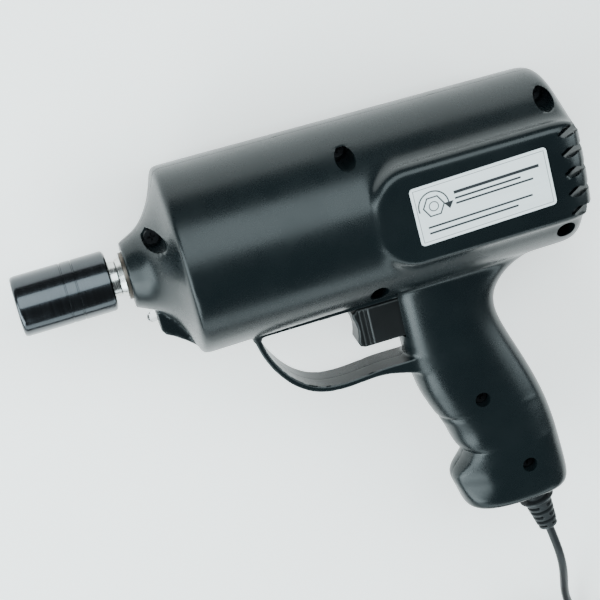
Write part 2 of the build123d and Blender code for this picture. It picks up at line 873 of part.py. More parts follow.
def turned_at(label, height, points):
    """A piece turned about a line along the tool at a given height."""
    with BuildPart() as piece:
        with BuildSketch(Plane(origin=place(0, height), z_dir=(0, 0, 1))):
            outline(*points)
        revolve(axis=Axis(place(0, height), (1, 0, 0)))
    save(piece, label)


def lamp_leads():
    routes = [
        [
            (16.1, LAMP_HEIGHT, z), (21.3, -26, z), (25.2, -35, z), (32, -41.4, z), (70, -41.4, z),
            (77, -37.5, z),
        ]
        for z in (-1, 1)
    ]
    wires("lamp_leads", routes, 0.6, 3)


# ---------------------------------------------------------------- cord


def strain_relief():
    """A ribbed boot round the cord, with a flange inside the grip and a rim outside it."""
    axis = Axis(boot_plane().origin, boot_plane().z_dir)
    long = (place(*BOOT_END) - place(*BOOT_TOP)).length
    profile = [(CORD_R, -1.8), (9, -1.8), (9, -4.2), (CORD_R, -4.2)]
    with BuildPart() as boot:
        top = boot_plane()
        section = Plane(origin=top.origin, x_dir=(0, 0, 1), z_dir=tuple(top.x_dir.cross(top.z_dir)))
        away = 1 if section.to_local_coords(boot_plane(1).origin).Y > 0 else -1
        with BuildSketch(section):
            outline(*[(x, away * y) for x, y in profile])
            outline(*[(x, away * y) for x, y in [(CORD_R, -1.9), (6.4, -1.9), (6.4, 5.4), (CORD_R, 5.4)]])
            cone = [(CORD_R, 5.2), (9.6, 5.2), (9.6, 6.6), (7.6, 7.4), (5.4, long), (CORD_R, long)]
            outline(*[(x, away * y) for x, y in cone])
        revolve(axis=axis)
        for i in range(5):
            start = 9.2 + 3.3 * i
            with BuildSketch(section):
                groove = [(4.1, start), (9, start), (9, start + 1.5), (4.1, start + 1.5)]
                outline(*[(x, away * y) for x, y in groove])
            revolve(axis=axis, mode=Mode.SUBTRACT)
    save(boot, "strain_relief")


def cord_inside():
    """The cord's last stretch, from the boot's mouth up to the clamp in the grip."""
    plane = boot_plane(-13.5)
    long = (place(*BOOT_END) - place(*BOOT_TOP)).length
    with BuildPart() as cord:
        with BuildSketch(plane):
            Circle(CORD_R)
        extrude(amount=long + 13.5)
    save(cord, "cord_inside")


def cord_clamp():
    with BuildPart() as clamp:
        with BuildSketch(side(0)):
            with Locations((180.8, -174)):
                RectangleRounded(24, 6, 2.5)
            with Locations(*CLAMP_SCREWS):
                Circle(1.4, mode=Mode.SUBTRACT)
        extrude(amount=5)
        with BuildSketch(boot_plane(-14)):
            Circle(CORD_R)
        extrude(amount=10, mode=Mode.SUBTRACT)
    save(clamp, "cord_clamp")


def tube(label, route):
    """A plain round tube along a route, each bend as large as its runs allow."""
    points = [place(*point) for point in route]
    radii = []
    for before, at, after in zip(points, points[1:], points[2:]):
        turn = (at - before).get_angle(after - at)
        shorter = min((at - before).length, (after - at).length)
        radii.append(0.45 * shorter / math.tan(math.radians(turn) / 2))
    with BuildPart() as piece:
        with BuildLine() as path:
            FilletPolyline(*points, radius=radii)
        line = path.wires()[0]
        with BuildSketch(Plane(origin=line @ 0, z_dir=line % 0)):
            Circle(CORD_R)
        sweep(path=line)
    expected = math.pi * CORD_R**2 * line.length
    print(label, "length", round(line.length, 1), "radii", [round(r) for r in radii])
    print(label, "volume", round(piece.part.volume, 1), "expected", round(expected, 1))
    save(piece, label)


def cord_coil():
    centre = Plane(origin=place(*COIL_CENTRE, COIL_BASE))
    with BuildPart() as coil:
        with BuildSketch(centre):
            Circle(COIL_OUTER_R)
            Circle(COIL_INNER_R, mode=Mode.SUBTRACT)
        extrude(amount=COIL_HIGH)
        fillet(coil.edges().filter_by(GeomType.CIRCLE), 2)
    save(coil, "cord_coil")


def cord_tie():
    """A strap round the coil's bundle of turns."""
    inner_x, outer_x = COIL_INNER_R - 0.5, COIL_OUTER_R
    across = polar(1, TIE_ANGLE)
    along = polar(1, TIE_ANGLE - 90)
    middle = Plane(origin=place(*COIL_CENTRE, COIL_BASE), x_dir=(*across, 0), z_dir=(*along, 0))
    with BuildPart() as tie:
        with BuildSketch(middle.offset(-TIE_WIDE / 2)):
            with Locations(((inner_x + outer_x) / 2, COIL_HIGH / 2)):
                RectangleRounded(outer_x - inner_x + 1.4, COIL_HIGH + 1.4, 0.6)
                Rectangle(outer_x - inner_x, COIL_HIGH, mode=Mode.SUBTRACT)
        extrude(amount=TIE_WIDE)
    save(tie, "cord_tie")


# ---------------------------------------------------------------- plug


def plug_turned(label, points):
    """A piece turned about the plug's axis, drawn from its distance along it and its radius."""
    centre = place(PLUG_REAR, PLUG_HEIGHT, PLUG_DEPTH)
    with BuildPart() as piece:
        with BuildSketch(Plane(origin=centre, x_dir=(-1, 0, 0), z_dir=(0, 0, 1))):
            outline(*points)
        revolve(axis=Axis(centre, (-1, 0, 0)))
        if label == "plug_body":
            side_slots(centre)
    save(piece, label)


def side_slots(centre):
    """Openings in the plug's front barrel for its two side contacts."""
    with BuildSketch(Plane(origin=centre, x_dir=(-1, 0, 0), z_dir=(0, 1, 0))) as face:
        with Locations((50, 0)):
            Rectangle(22, 5)
    extrude(face.sketch, amount=PLUG_FRONT_R + 3, both=True, mode=Mode.SUBTRACT)


def plug_boot():
    plug_turned("plug_boot", [(0, CORD_R), (0, 4), (10, 5.6), (10, 7), (12.5, 7), (12.5, CORD_R)])


def plug_body():
    plug_turned(
        "plug_body",
        [
            (12.5, CORD_R), (12.5, 9.5), (15, HANDLE_R - 0.8), (18, HANDLE_R), (34, HANDLE_R),
            (37, PLUG_FRONT_R + 0.6),
            (38, PLUG_FRONT_R), (64, PLUG_FRONT_R), (64, 8), (36, 8), (36, 5.5), (26, 5.5), (26, CORD_R),
        ],
    )


def plug_cap():
    plug_turned("plug_cap", [(64, 4.2), (64, PLUG_FRONT_R), (66, PLUG_FRONT_R), (73, 8), (73, 4.2)])


def plug_tip():
    plug_turned("plug_tip", [(62, 0), (62, 6.2), (63.8, 6.2), (63.8, 4.0), (76, 4.0), (78, 2.4), (78.6, 0)])


def plug_fuse():
    plug_turned("plug_fuse", [(42, 0), (42, 3.1), (62, 3.1), (62, 0)])


def plug_spring():
    seat = Plane(origin=place(PLUG_REAR - 26, PLUG_HEIGHT, PLUG_DEPTH), x_dir=(0, 1, 0), z_dir=(-1, 0, 0))
    coil_spring("plug_spring", seat, 16, 2.8, 0.7, 6)


def plug_side_contacts():
    """Two bowed strips that press on the wall of the socket."""
    with BuildPart() as strips:
        for way in (1, -1):
            centre = place(PLUG_REAR, PLUG_HEIGHT, PLUG_DEPTH - 2.2)
            with BuildSketch(Plane(origin=centre, x_dir=(-1, 0, 0), z_dir=(0, 0, 1))):
                with BuildLine():
                    ThreePointArc((40, way * 8.6), (50, way * 12.2), (60, way * 8.6))
                    Line((60, way * 8.6), (60, way * 7.8))
                    ThreePointArc((60, way * 7.8), (50, way * 11.4), (40, way * 7.8))
                    Line((40, way * 7.8), (40, way * 8.6))
                make_face()
            extrude(amount=4.4)
    save(strips, "plug_side_contacts")


housing()
screws(
    "housing_screws", BARREL_SCREWS + GRIP_SCREWS, SCREW_FLOOR, SCREW_HEAD_R, SCREW_HEAD_LONG, SCREW_R, SCREW_END
)
rating_label()
nose_bush()
anvil()
turned("pilot_bush", ring(24, 31.6, ROTOR_R + RUNNING, 7.5))
friction_ring()
impact_socket()
flywheel()
striker_dog()
striker_pin()
striker_spring()
turned("motor_shaft", [(24.6, 0), (24.6, 4), (25.6, ROTOR_R), (196, ROTOR_R), (197, 4), (197, 0)])
armature_core()
armature_windings()
commutator()
cooling_fan()
bearing("front_bearing", CAN_FRONT - 2.5)
bearing("rear_bearing", CAN_REAR)
motor_can()
field_magnets()
motor_end_bell()
motor_screws()
brush_card()
brush_holders()
brushes()
brush_springs()
suppression_capacitor()
trigger()
coil_spring("trigger_spring", axial(TRIGGER_BACK, STEM_HEIGHT), SWITCH_FRONT - TRIGGER_BACK, 3.4, 0.7, 4)
trigger_switch()
direction_selector()
reversing_switch()
motor_leads()
selector_leads()
lamp_bulb()
lamp_leads()
strain_relief()
cord_inside()
cord_clamp()
screws("cord_clamp_screws", CLAMP_SCREWS, 5.0, 2.5, 1.8, CLAMP_SCREW_R, -8.5)
tube("cord_lead", LEAD_ROUTE)
cord_coil()
cord_tie()
tube("cord_tail", TAIL_ROUTE)
plug_boot()
plug_body()
plug_cap()
plug_tip()
plug_fuse()
plug_spring()
plug_side_contacts()
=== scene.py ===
import json
import math

import bmesh
import bpy
import numpy as np
from mathutils import Matrix, Vector


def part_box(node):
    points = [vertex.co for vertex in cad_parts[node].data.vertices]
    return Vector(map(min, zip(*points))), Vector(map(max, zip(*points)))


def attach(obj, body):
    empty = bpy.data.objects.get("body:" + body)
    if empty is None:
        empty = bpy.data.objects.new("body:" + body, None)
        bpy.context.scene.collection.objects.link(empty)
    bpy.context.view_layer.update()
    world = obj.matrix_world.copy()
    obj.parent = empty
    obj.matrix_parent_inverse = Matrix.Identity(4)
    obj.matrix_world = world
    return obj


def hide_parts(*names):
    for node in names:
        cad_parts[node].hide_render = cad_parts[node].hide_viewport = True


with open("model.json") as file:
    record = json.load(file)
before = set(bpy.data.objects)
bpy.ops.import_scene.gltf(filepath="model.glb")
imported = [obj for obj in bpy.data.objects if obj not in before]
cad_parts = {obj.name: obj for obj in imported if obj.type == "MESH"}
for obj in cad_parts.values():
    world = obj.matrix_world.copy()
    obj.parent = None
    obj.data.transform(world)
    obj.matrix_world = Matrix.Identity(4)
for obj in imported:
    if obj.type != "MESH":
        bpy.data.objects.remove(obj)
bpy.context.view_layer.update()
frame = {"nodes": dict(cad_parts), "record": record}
NODES = frame["nodes"]
MM = 0.001

# The tool's own axes: stations from the nose face to the rear, heights towards the tool's
# top, depths towards its left side, all in millimetres from the barrel axis.
_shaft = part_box("motor_shaft")
_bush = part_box("nose_bush")
ORIGIN = Vector((_bush[0].x + 0.6 * MM, (_shaft[0].y + _shaft[1].y) / 2, (_shaft[0].z + _shaft[1].z) / 2))


def at(station, height, depth=0.0):
    """A place given in the tool's millimetres, in the frame's metres."""
    return ORIGIN + Vector((station, height, depth)) * MM


# ---------------------------------------------------------------- camera

CAMERA_PLACE = (-33.09, 308.99, 876.33)
CAMERA_TARGET = (82.28, -39.18, 0.0)
CAMERA_ROLL = math.radians(16.6)
CAMERA_LENS = 111.6


def make_camera():
    data = bpy.data.cameras.new("camera")
    data.lens = CAMERA_LENS
    data.sensor_width = 36
    data.clip_end = 10
    camera = bpy.data.objects.new("camera", data)
    bpy.context.scene.collection.objects.link(camera)
    place, target = at(*CAMERA_PLACE), at(*CAMERA_TARGET)
    back = (place - target).normalized()
    level = (Vector((1, 0, 0)) - back * back.x).normalized()
    upright = back.cross(level)
    right = level * math.cos(CAMERA_ROLL) - upright * math.sin(CAMERA_ROLL)
    up = level * math.sin(CAMERA_ROLL) + upright * math.cos(CAMERA_ROLL)
    camera.matrix_world = Matrix.Translation(place) @ Matrix((right, up, back)).transposed().to_4x4()
    bpy.context.scene.camera = camera


make_camera()


# ---------------------------------------------------------------- cord route

CORD_D = 4.8
LEAD_ROUTE = [
    (186.5, -208.5, 0), (189.18, -223, 0), (191.2, -238, -4.4), (192.6, -252.4, -13.2),
    (194.2, -266.4, -24), (197, -280.4, -34.6), (201.6, -294, -42.6), (207.4, -307.2, -46.1),
    (213.6, -319.8, -46.2),
    (217, -332.2, -46), (216.8, -344.6, -45.6), (211.8, -355.4, -45.4),
]
TAIL_ROUTE = [
    (156, -372.8, -30.6), (144.6, -365.2, -32), (131.8, -359.6, -34), (118.4, -356.6, -35.6),
    (105, -356, -36),
]
COIL_CENTRE = (176.2, -338)
COIL_PITCH = 4.9
COIL_OUTER, COIL_INNER = 37.0, 17.4
COIL_LOW = -45.45
COIL_START = math.radians(-44)
COIL_TURNS = 19.15
COIL_LAYERS, LAYER_TURNS = 4, 5
TURN_POINTS = 20


def coil_place(turn):
    """A place on the wound cord. A layer is four spiral turns and one more at the last radius,
    which climbs to the next layer, apart from the top layer's."""
    layer, part = divmod(turn, LAYER_TURNS)
    spiral = min(part, LAYER_TURNS - 1.0)
    climb = max(part - LAYER_TURNS + 1.0, 0.0) if layer < COIL_LAYERS - 1 else 0.0
    if layer % 2 == 0:
        radius = COIL_OUTER - COIL_PITCH * spiral
    else:
        radius = COIL_INNER + COIL_PITCH * spiral
    height = COIL_LOW + COIL_PITCH * (layer + math.sin(climb * math.pi / 2))
    radius /= math.cos(math.pi / TURN_POINTS)
    angle = COIL_START - 2 * math.pi * turn
    return COIL_CENTRE[0] + radius * math.cos(angle), COIL_CENTRE[1] + radius * math.sin(angle), height


def make_cord():
    """The whole cord as one curve. Its points carry the cord's radius, which keeps the curve's
    own box as tight as the cord."""
    turns = [coil_place(i / TURN_POINTS) for i in range(round(COIL_TURNS * TURN_POINTS) + 1)]
    route = [at(*p) for p in LEAD_ROUTE + turns + TAIL_ROUTE]
    curve = bpy.data.curves.new("cord", "CURVE")
    curve.dimensions = "3D"
    curve.bevel_depth = 1.0
    curve.bevel_resolution = 5
    curve.use_fill_caps = True
    spline = curve.splines.new("NURBS")
    spline.points.add(len(route) - 1)
    for point, place in zip(spline.points, route):
        point.co = (*place, 1)
        point.radius = CORD_D / 2 * MM
    spline.order_u = 3
    spline.use_endpoint_u = True
    spline.resolution_u = 4
    cord = bpy.data.objects.new("cord", curve)
    bpy.context.scene.collection.objects.link(cord)
    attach(cord, "tool")
    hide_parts("cord_lead", "cord_coil", "cord_tail")
    tuple(at(*LEAD_ROUTE[0]))
    return cord


CORD = make_cord()


# ---------------------------------------------------------------- small helpers


def new_object(name, mesh, smooth_angle=None):
    obj = bpy.data.objects.new(name, mesh)
    bpy.context.scene.collection.objects.link(obj)
    if smooth_angle is not None:
        mesh.shade_smooth()
        mesh.set_sharp_from_angle(angle=math.radians(smooth_angle))
    return obj


def mesh_from(name, points, faces):
    mesh = bpy.data.meshes.new(name)
    mesh.from_pydata(points, [], faces)
    mesh.update()
    return mesh


def recalculated(mesh):
    """The same mesh with all its faces pointing outwards."""
    work = bmesh.new()
    work.from_mesh(mesh)
    bmesh.ops.recalc_face_normals(work, faces=work.faces)
    work.to_mesh(mesh)
    work.free()
    return mesh


# Corners sharper than these, in degrees, are kept sharp
SMOOTH_RING_ANGLE, SMOOTH_FIELD_ANGLE = 32, 35


def ring_stack(name, rings, start, along, count=96):
    """A closed band of rings about an axis. A ring is a place along it and a radius, which may
    be a function of the angle. The last ring joins the first, so the piece is hollow."""
    start, along = Vector(start), Vector(along).normalized()
    across = Vector((0, 0, 1))
    other = along.cross(across)
    points, faces = [], []
    for place, radius in rings:
        for i in range(count):
            angle = 2 * math.pi * i / count
            r = radius(angle) if callable(radius) else radius
            spoke = across * math.cos(angle) + other * math.sin(angle)
            points.append(at(*(start + along * place + spoke * r)))
    for k in range(len(rings)):
        this, after = k * count, (k + 1) % len(rings) * count
        for i in range(count):
            j = (i + 1) % count
            faces.append((this + i, this + j, after + j, after + i))
    return new_object(name, recalculated(mesh_from(name, points, faces)), SMOOTH_RING_ANGLE)


def finish_piece(obj, body, slot, *nodes):
    obj.data.materials.append(material(slot))
    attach(obj, body)
    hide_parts(*nodes)
    return obj


# ---------------------------------------------------------------- materials


class Nodes:
    """A short way to write a material's node tree."""

    def __init__(self, name):
        self.material = bpy.data.materials.new(name)
        self.material.use_nodes = True
        self.tree = self.material.node_tree
        self.shader = self.tree.nodes["Principled BSDF"]
        self.place = self.add("ShaderNodeTexCoord").outputs["Object"]

    def add(self, kind, **settings):
        node = self.tree.nodes.new(kind)
        for key, value in settings.items():
            setattr(node, key, value)
        return node

    def link(self, out, into):
        self.tree.links.new(out, into)

    def noise(self, scale, detail=4.0, roughness=0.55, stretch=None):
        node = self.add("ShaderNodeTexNoise")
        node.inputs["Scale"].default_value = scale
        node.inputs["Detail"].default_value = detail
        node.inputs["Roughness"].default_value = roughness
        source = self.place
        if stretch:
            mapping = self.add("ShaderNodeMapping")
            mapping.inputs["Scale"].default_value = stretch
            self.link(self.place, mapping.inputs["Vector"])
            source = mapping.outputs["Vector"]
        self.link(source, node.inputs["Vector"])
        return node.outputs["Fac"]

    def ramp(self, value, low, high, start, end):
        node = self.add("ShaderNodeMapRange")
        node.inputs["From Min"].default_value = low
        node.inputs["From Max"].default_value = high
        node.inputs["To Min"].default_value = start
        node.inputs["To Max"].default_value = end
        self.link(value, node.inputs["Value"])
        return node.outputs["Result"]

    def math(self, kind, first, second=None):
        node = self.add("ShaderNodeMath", operation=kind)
        for socket, value in zip(node.inputs, (first, second)):
            if value is None:
                continue
            if isinstance(value, (int, float)):
                socket.default_value = value
            else:
                self.link(value, socket)
        return node.outputs["Value"]

    def mix(self, factor, first, second):
        node = self.add("ShaderNodeMix", data_type="RGBA")
        self.link(factor, node.inputs["Factor"])
        for socket, value in ((node.inputs["A"], first), (node.inputs["B"], second)):
            if isinstance(value, tuple):
                socket.default_value = (*value, 1)
            else:
                self.link(value, socket)
        return node.outputs["Result"]

    def bump(self, height, strength, distance):
        node = self.add("ShaderNodeBump")
        node.inputs["Strength"].default_value = strength
        node.inputs["Distance"].default_value = distance
        self.link(height, node.inputs["Height"])
        self.link(node.outputs["Normal"], self.shader.inputs["Normal"])

    def base(self, color):
        if isinstance(color, tuple):
            self.shader.inputs["Base Color"].default_value = (*color, 1)
        else:
            self.link(color, self.shader.inputs["Base Color"])

    def rough(self, value):
        if isinstance(value, (int, float)):
            self.shader.inputs["Roughness"].default_value = value
        else:
            self.link(value, self.shader.inputs["Roughness"])

    def coordinate(self, axis):
        """One coordinate of the place, in millimetres of the tool's own axes."""
        split = self.add("ShaderNodeSeparateXYZ")
        self.link(self.place, split.inputs["Vector"])
        index = "XYZ".index(axis)
        shifted = self.math("SUBTRACT", split.outputs[axis], ORIGIN[index])
        return self.math("MULTIPLY", shifted, 1 / MM)


PLASTIC_IOR, GLASS_IOR = 1.38, 1.5


def moulded(name, color, light, roughness, grain=0.35, grain_scale=1400.0):
    """Moulded plastic: fine spark-eroded grain, soft cloudy tone and slight uneven gloss."""
    m = Nodes(name)
    cloud = m.noise(9, 3)
    m.base(m.mix(m.ramp(cloud, 0.35, 0.7, 0, 1), color, light))
    fine = m.noise(grain_scale, 2, 0.6)
    patch = m.noise(45, 4, 0.6)
    uneven = m.ramp(patch, 0.3, 0.7, roughness - 0.04, roughness + 0.05)
    m.rough(m.math("ADD", uneven, m.ramp(fine, 0.3, 0.7, -0.02, 0.03)))
    m.bump(fine, grain, 0.00006)
    m.shader.inputs["IOR"].default_value = PLASTIC_IOR
    return m


def turned_steel(name, color, roughness, ring_scale=2600.0):
    """Metal turned in a lathe: fine rings round the barrel axis, with a little staining."""
    m = Nodes(name)
    stain = m.noise(70, 5, 0.6)
    dark = tuple(c * 0.72 for c in color)
    m.base(m.mix(m.ramp(stain, 0.35, 0.75, 0, 0.6), color, dark))
    m.shader.inputs["Metallic"].default_value = 1.0
    rings = m.noise(ring_scale, 2, 0.5, (1, 0.02, 0.02))
    m.rough(m.ramp(rings, 0.3, 0.7, roughness - 0.06, roughness + 0.1))
    m.bump(rings, 0.25, 0.00008)
    return m


MATERIALS = {}


def material(name):
    if name not in MATERIALS:
        MATERIALS[name] = MAKERS[name]()
    return MATERIALS[name]


def housing_plastic():
    dark, light = (0.0022, 0.0042, 0.005), (0.0034, 0.0062, 0.0072)
    return moulded("housing_plastic", dark, light, 0.27).material


def tie_strap():
    m = moulded("tie_strap", (0.012, 0.012, 0.013), (0.02, 0.02, 0.021), 0.5)
    teeth = m.noise(900, 1, 0.4, (0.2, 1, 0.2))
    m.bump(teeth, 0.5, 0.0002)
    return m.material


def black_oxide():
    m = Nodes("black_oxide")
    cloud = m.noise(30, 4)
    m.base(m.mix(m.ramp(cloud, 0.3, 0.7, 0, 1), (0.034, 0.037, 0.042), (0.05, 0.053, 0.058)))
    m.shader.inputs["Metallic"].default_value = 1.0
    m.shader.inputs["Coat Weight"].default_value = 0.5
    m.shader.inputs["Coat Roughness"].default_value = 0.08
    rings = m.noise(1500, 2, 0.5, (1, 0.03, 0.03))
    m.rough(m.ramp(rings, 0.3, 0.7, 0.17, 0.27))
    m.bump(rings, 0.12, 0.00004)
    return m.material


def copper():
    m = turned_steel("copper", (0.72, 0.31, 0.14), 0.3)
    strands = m.noise(1100, 1, 0.4, (0.1, 1, 1))
    m.bump(strands, 0.6, 0.0002)
    return m.material


def clear(name, color, roughness):
    m = Nodes(name)
    m.base(m.mix(m.ramp(m.noise(60, 2), 0.3, 0.7, 0, 1), color, tuple(c * 0.97 for c in color)))
    m.shader.inputs["Transmission Weight"].default_value = 1.0
    m.shader.inputs["IOR"].default_value = GLASS_IOR
    m.rough(m.ramp(m.noise(500, 2), 0.3, 0.7, roughness, roughness + 0.05))
    return m.material


LABEL_MIDDLE, LABEL_TURN = (175.0, 4.3), math.radians(1.5)
LABEL_SIZE, LABEL_CORNER, LABEL_THICK = (70.5, 30.0), 2.0, 0.35
NUT_MIDDLE, NUT_FLATS = (-25.0, 3.4), 4.6
ARROW_RADIUS, ARROW_FOOT, ARROW_TIP = NUT_FLATS + 3, -1.5, 3.6
# Middle along the label, half length, height and half thickness of each printed rule
LABEL_BARS = [
    (8, 22, 7.0, 0.8), (3, 17, 4.0, 0.5), (6, 20, 1.4, 0.5), (-3, 27, -6.6, 0.5), (-7, 23, -9.6, 0.5),
]


def label_film():
    """Silver-white film with plain artwork: a nut with a turning arrow, and a few thin rules."""
    m = Nodes("label_film")
    a = m.math("SUBTRACT", m.coordinate("X"), LABEL_MIDDLE[0])
    b = m.math("SUBTRACT", m.coordinate("Y"), LABEL_MIDDLE[1])
    cos, sin = math.cos(LABEL_TURN), math.sin(LABEL_TURN)
    x = m.math("ADD", m.math("MULTIPLY", a, cos), m.math("MULTIPLY", b, sin))
    y = m.math("SUBTRACT", m.math("MULTIPLY", b, cos), m.math("MULTIPLY", a, sin))

    def box(middle_x, middle_y, half_x, half_y):
        across = m.math("SUBTRACT", m.math("ABSOLUTE", m.math("SUBTRACT", x, middle_x)), half_x)
        upward = m.math("SUBTRACT", m.math("ABSOLUTE", m.math("SUBTRACT", y, middle_y)), half_y)
        return m.math("MAXIMUM", across, upward)

    def ring(distance, half):
        return m.math("SUBTRACT", m.math("ABSOLUTE", distance), half)

    def nut():
        u, v = m.math("SUBTRACT", x, NUT_MIDDLE[0]), m.math("SUBTRACT", y, NUT_MIDDLE[1])
        far = m.math("ABSOLUTE", v)
        for side in (60, 120):
            turn = math.radians(90 + side)
            along_u, along_v = m.math("MULTIPLY", u, math.cos(turn)), m.math("MULTIPLY", v, math.sin(turn))
            far = m.math("MAXIMUM", far, m.math("ABSOLUTE", m.math("ADD", along_u, along_v)))
        out = m.math("SQRT", m.math("ADD", m.math("MULTIPLY", u, u), m.math("MULTIPLY", v, v)))
        hexagon = ring(m.math("SUBTRACT", far, NUT_FLATS), 0.35)
        hole = ring(m.math("SUBTRACT", out, NUT_FLATS * 0.5), 0.25)
        arc = ring(m.math("SUBTRACT", out, ARROW_RADIUS), 0.35)
        arrow = m.math("MAXIMUM", arc, m.math("SUBTRACT", ARROW_FOOT, v))
        head = m.math("ABSOLUTE", m.math("SUBTRACT", u, ARROW_RADIUS))
        head = m.math("SUBTRACT", head, m.math("MULTIPLY", m.math("ADD", v, ARROW_TIP), 0.7))
        head = m.math("MAXIMUM", head, v)
        return [hexagon, hole, arrow, head]

    print_distance = ring(box(0, 0, LABEL_SIZE[0] / 2 - 1.6, LABEL_SIZE[1] / 2 - 1.6), 0.12)
    shapes = nut() + [box(cx, cy, half, thin) for cx, half, cy, thin in LABEL_BARS]
    for shape in shapes:
        print_distance = m.math("MINIMUM", print_distance, shape)
    ink = m.ramp(print_distance, -0.05, 0.05, 1, 0)
    foil = m.noise(260, 3, 0.5, (0.05, 1, 1))
    film = m.mix(m.ramp(foil, 0.3, 0.7, 0, 1), (0.74, 0.755, 0.76), (0.8, 0.81, 0.81))
    m.base(m.mix(ink, film, (0.012, 0.013, 0.015)))
    m.rough(m.math("ADD", m.ramp(foil, 0.3, 0.7, 0.3, 0.38), m.math("MULTIPLY", ink, 0.12)))
    m.shader.inputs["Metallic"].default_value = 0.15
    m.bump(print_distance, 0.05, 0.00005)
    return m.material


def steels(name, color, roughness):
    return lambda: turned_steel(name, color, roughness).material


def plastics(name, color, light, roughness, grain=0.35, grain_scale=1400.0):
    return lambda: moulded(name, color, light, roughness, grain, grain_scale).material


MAKERS = {
    "housing_plastic": housing_plastic,
    "trigger_plastic": plastics("trigger_plastic", (0.0025, 0.0028, 0.003), (0.004, 0.0043, 0.0045), 0.4),
    "label_film": label_film,
    "black_oxide": black_oxide,
    "bright_steel": steels("bright_steel", (0.62, 0.61, 0.59), 0.2),
    "dark_steel": steels("dark_steel", (0.2, 0.2, 0.205), 0.32),
    "screw_steel": steels("screw_steel", (0.022, 0.022, 0.024), 0.45),
    "bronze": steels("bronze", (0.12, 0.1, 0.085), 0.42),
    "can_steel": steels("can_steel", (0.42, 0.42, 0.43), 0.35),
    "core_steel": steels("core_steel", (0.26, 0.26, 0.27), 0.42),
    "spring_steel": steels("spring_steel", (0.45, 0.45, 0.46), 0.28),
    "plug_metal": steels("plug_metal", (0.66, 0.64, 0.6), 0.22),
    "copper": copper,
    "ferrite": plastics("ferrite", (0.028, 0.028, 0.03), (0.045, 0.045, 0.048), 0.7, 0.6, 700),
    "carbon": plastics("carbon", (0.012, 0.012, 0.013), (0.022, 0.022, 0.023), 0.55, 0.5, 900),
    "inner_plastic": plastics("inner_plastic", (0.02, 0.02, 0.021), (0.03, 0.03, 0.032), 0.5),
    "fan_plastic": plastics("fan_plastic", (0.012, 0.013, 0.014), (0.018, 0.019, 0.02), 0.45),
    "capacitor_sleeve": plastics("capacitor_sleeve", (0.02, 0.06, 0.22), (0.03, 0.08, 0.26), 0.35),
    "wire_red": plastics("wire_red", (0.42, 0.018, 0.014), (0.5, 0.03, 0.022), 0.4),
    "cord_rubber": plastics("cord_rubber", (0.006, 0.006, 0.007), (0.011, 0.011, 0.012), 0.42, 0.3, 1800),
    "boot_rubber": plastics("boot_rubber", (0.008, 0.009, 0.010), (0.013, 0.014, 0.015), 0.45, 0.5, 900),
    "tie_strap": tie_strap,
    "plug_plastic": plastics("plug_plastic", (0.009, 0.009, 0.010), (0.014, 0.014, 0.015), 0.4),
    "lamp_clear": lambda: clear("lamp_clear", (0.93, 0.95, 0.96), 0.03),
    "fuse_glass": lambda: clear("fuse_glass", (0.95, 0.95, 0.94), 0.02),
}


CORD.data.materials.append(material("cord_rubber"))
for part in frame["record"]["subparts"]:
    NODES[part["node"]].data.materials.clear()
    NODES[part["node"]].data.materials.append(material(part["material_slot"]))


# ---------------------------------------------------------------- surfaces from distance fields


class Curve:
    """A natural cubic spline through (x, y) points, straight beyond its ends."""

    def __init__(self, *points):
        self.x, self.y = np.array(points, float).T
        h = np.diff(self.x)
        slope = np.diff(self.y) / h
        n = len(self.x)
        system, right = np.eye(n), np.zeros(n)
        for i in range(1, n - 1):
            system[i, i - 1 : i + 2] = h[i - 1], 2 * (h[i - 1] + h[i]), h[i]
            right[i] = 6 * (slope[i] - slope[i - 1])
        self.bend = np.linalg.solve(system, right)
        self.h, self.slope = h, slope

    def __call__(self, x):
        """The curve's value and slope at each x."""
        inner = np.clip(x, self.x[0], self.x[-1])
        i = np.clip(np.searchsorted(self.x, inner) - 1, 0, len(self.h) - 1)
        h, t = self.h[i], inner - self.x[i]
        m0, m1 = self.bend[i], self.bend[i + 1]
        start = self.slope[i] - h * (2 * m0 + m1) / 6
        rise = start + t * (m0 + t * (m1 - m0) / (2 * h))
        value = self.y[i] + t * (start + t * (m0 / 2 + t * (m1 - m0) / (6 * h)))
        return value + (x - inner) * rise, rise


def join_max(p, q, blend):
    """The larger of two distances, with a soft corner of about the blend's size. With field
    distances this keeps what is inside both shapes."""
    h = np.maximum(blend - np.abs(p - q), 0) / blend
    return np.maximum(p, q) + h * h * h * blend / 6


def join_min(p, q, blend):
    """The smaller of two distances with a soft corner, which adds two shapes together."""
    return -join_max(-p, -q, blend)


def rounded_slab(across, depth, half, edge):
    """Distance to an outline given by its flat distance, made a slab with rounded edges."""
    u, v = across + edge, np.abs(depth) - half + edge
    return np.hypot(np.maximum(u, 0), np.maximum(v, 0)) + np.minimum(np.maximum(u, v), 0) - edge


def path_distance(a, b, path):
    """Distance from points to a smooth open path in the side view."""
    best = np.full(a.shape, 1e9)
    for (x0, y0), (x1, y1) in zip(path, path[1:]):
        dx, dy = x1 - x0, y1 - y0
        t = np.clip(((a - x0) * dx + (b - y0) * dy) / (dx * dx + dy * dy), 0, 1)
        best = np.minimum(best, (a - x0 - t * dx) ** 2 + (b - y0 - t * dy) ** 2)
    return np.sqrt(best)


def smooth_path(points, steps=10):
    """Points along a curve through the given ones."""
    pts = np.array(points, float)
    run = np.concatenate([[0], np.cumsum(np.linalg.norm(np.diff(pts, axis=0), axis=1))])
    t = np.linspace(0, run[-1], steps * (len(pts) - 1) + 1)
    return np.stack([Curve(*zip(run, pts[:, k]))(t)[0] for k in range(2)], axis=1)


NORMAL_STEP = 0.04
# How strongly a cell's point is held to the middle of its crossings, where the planes leave it free
PULL_TO_MIDDLE = 0.06


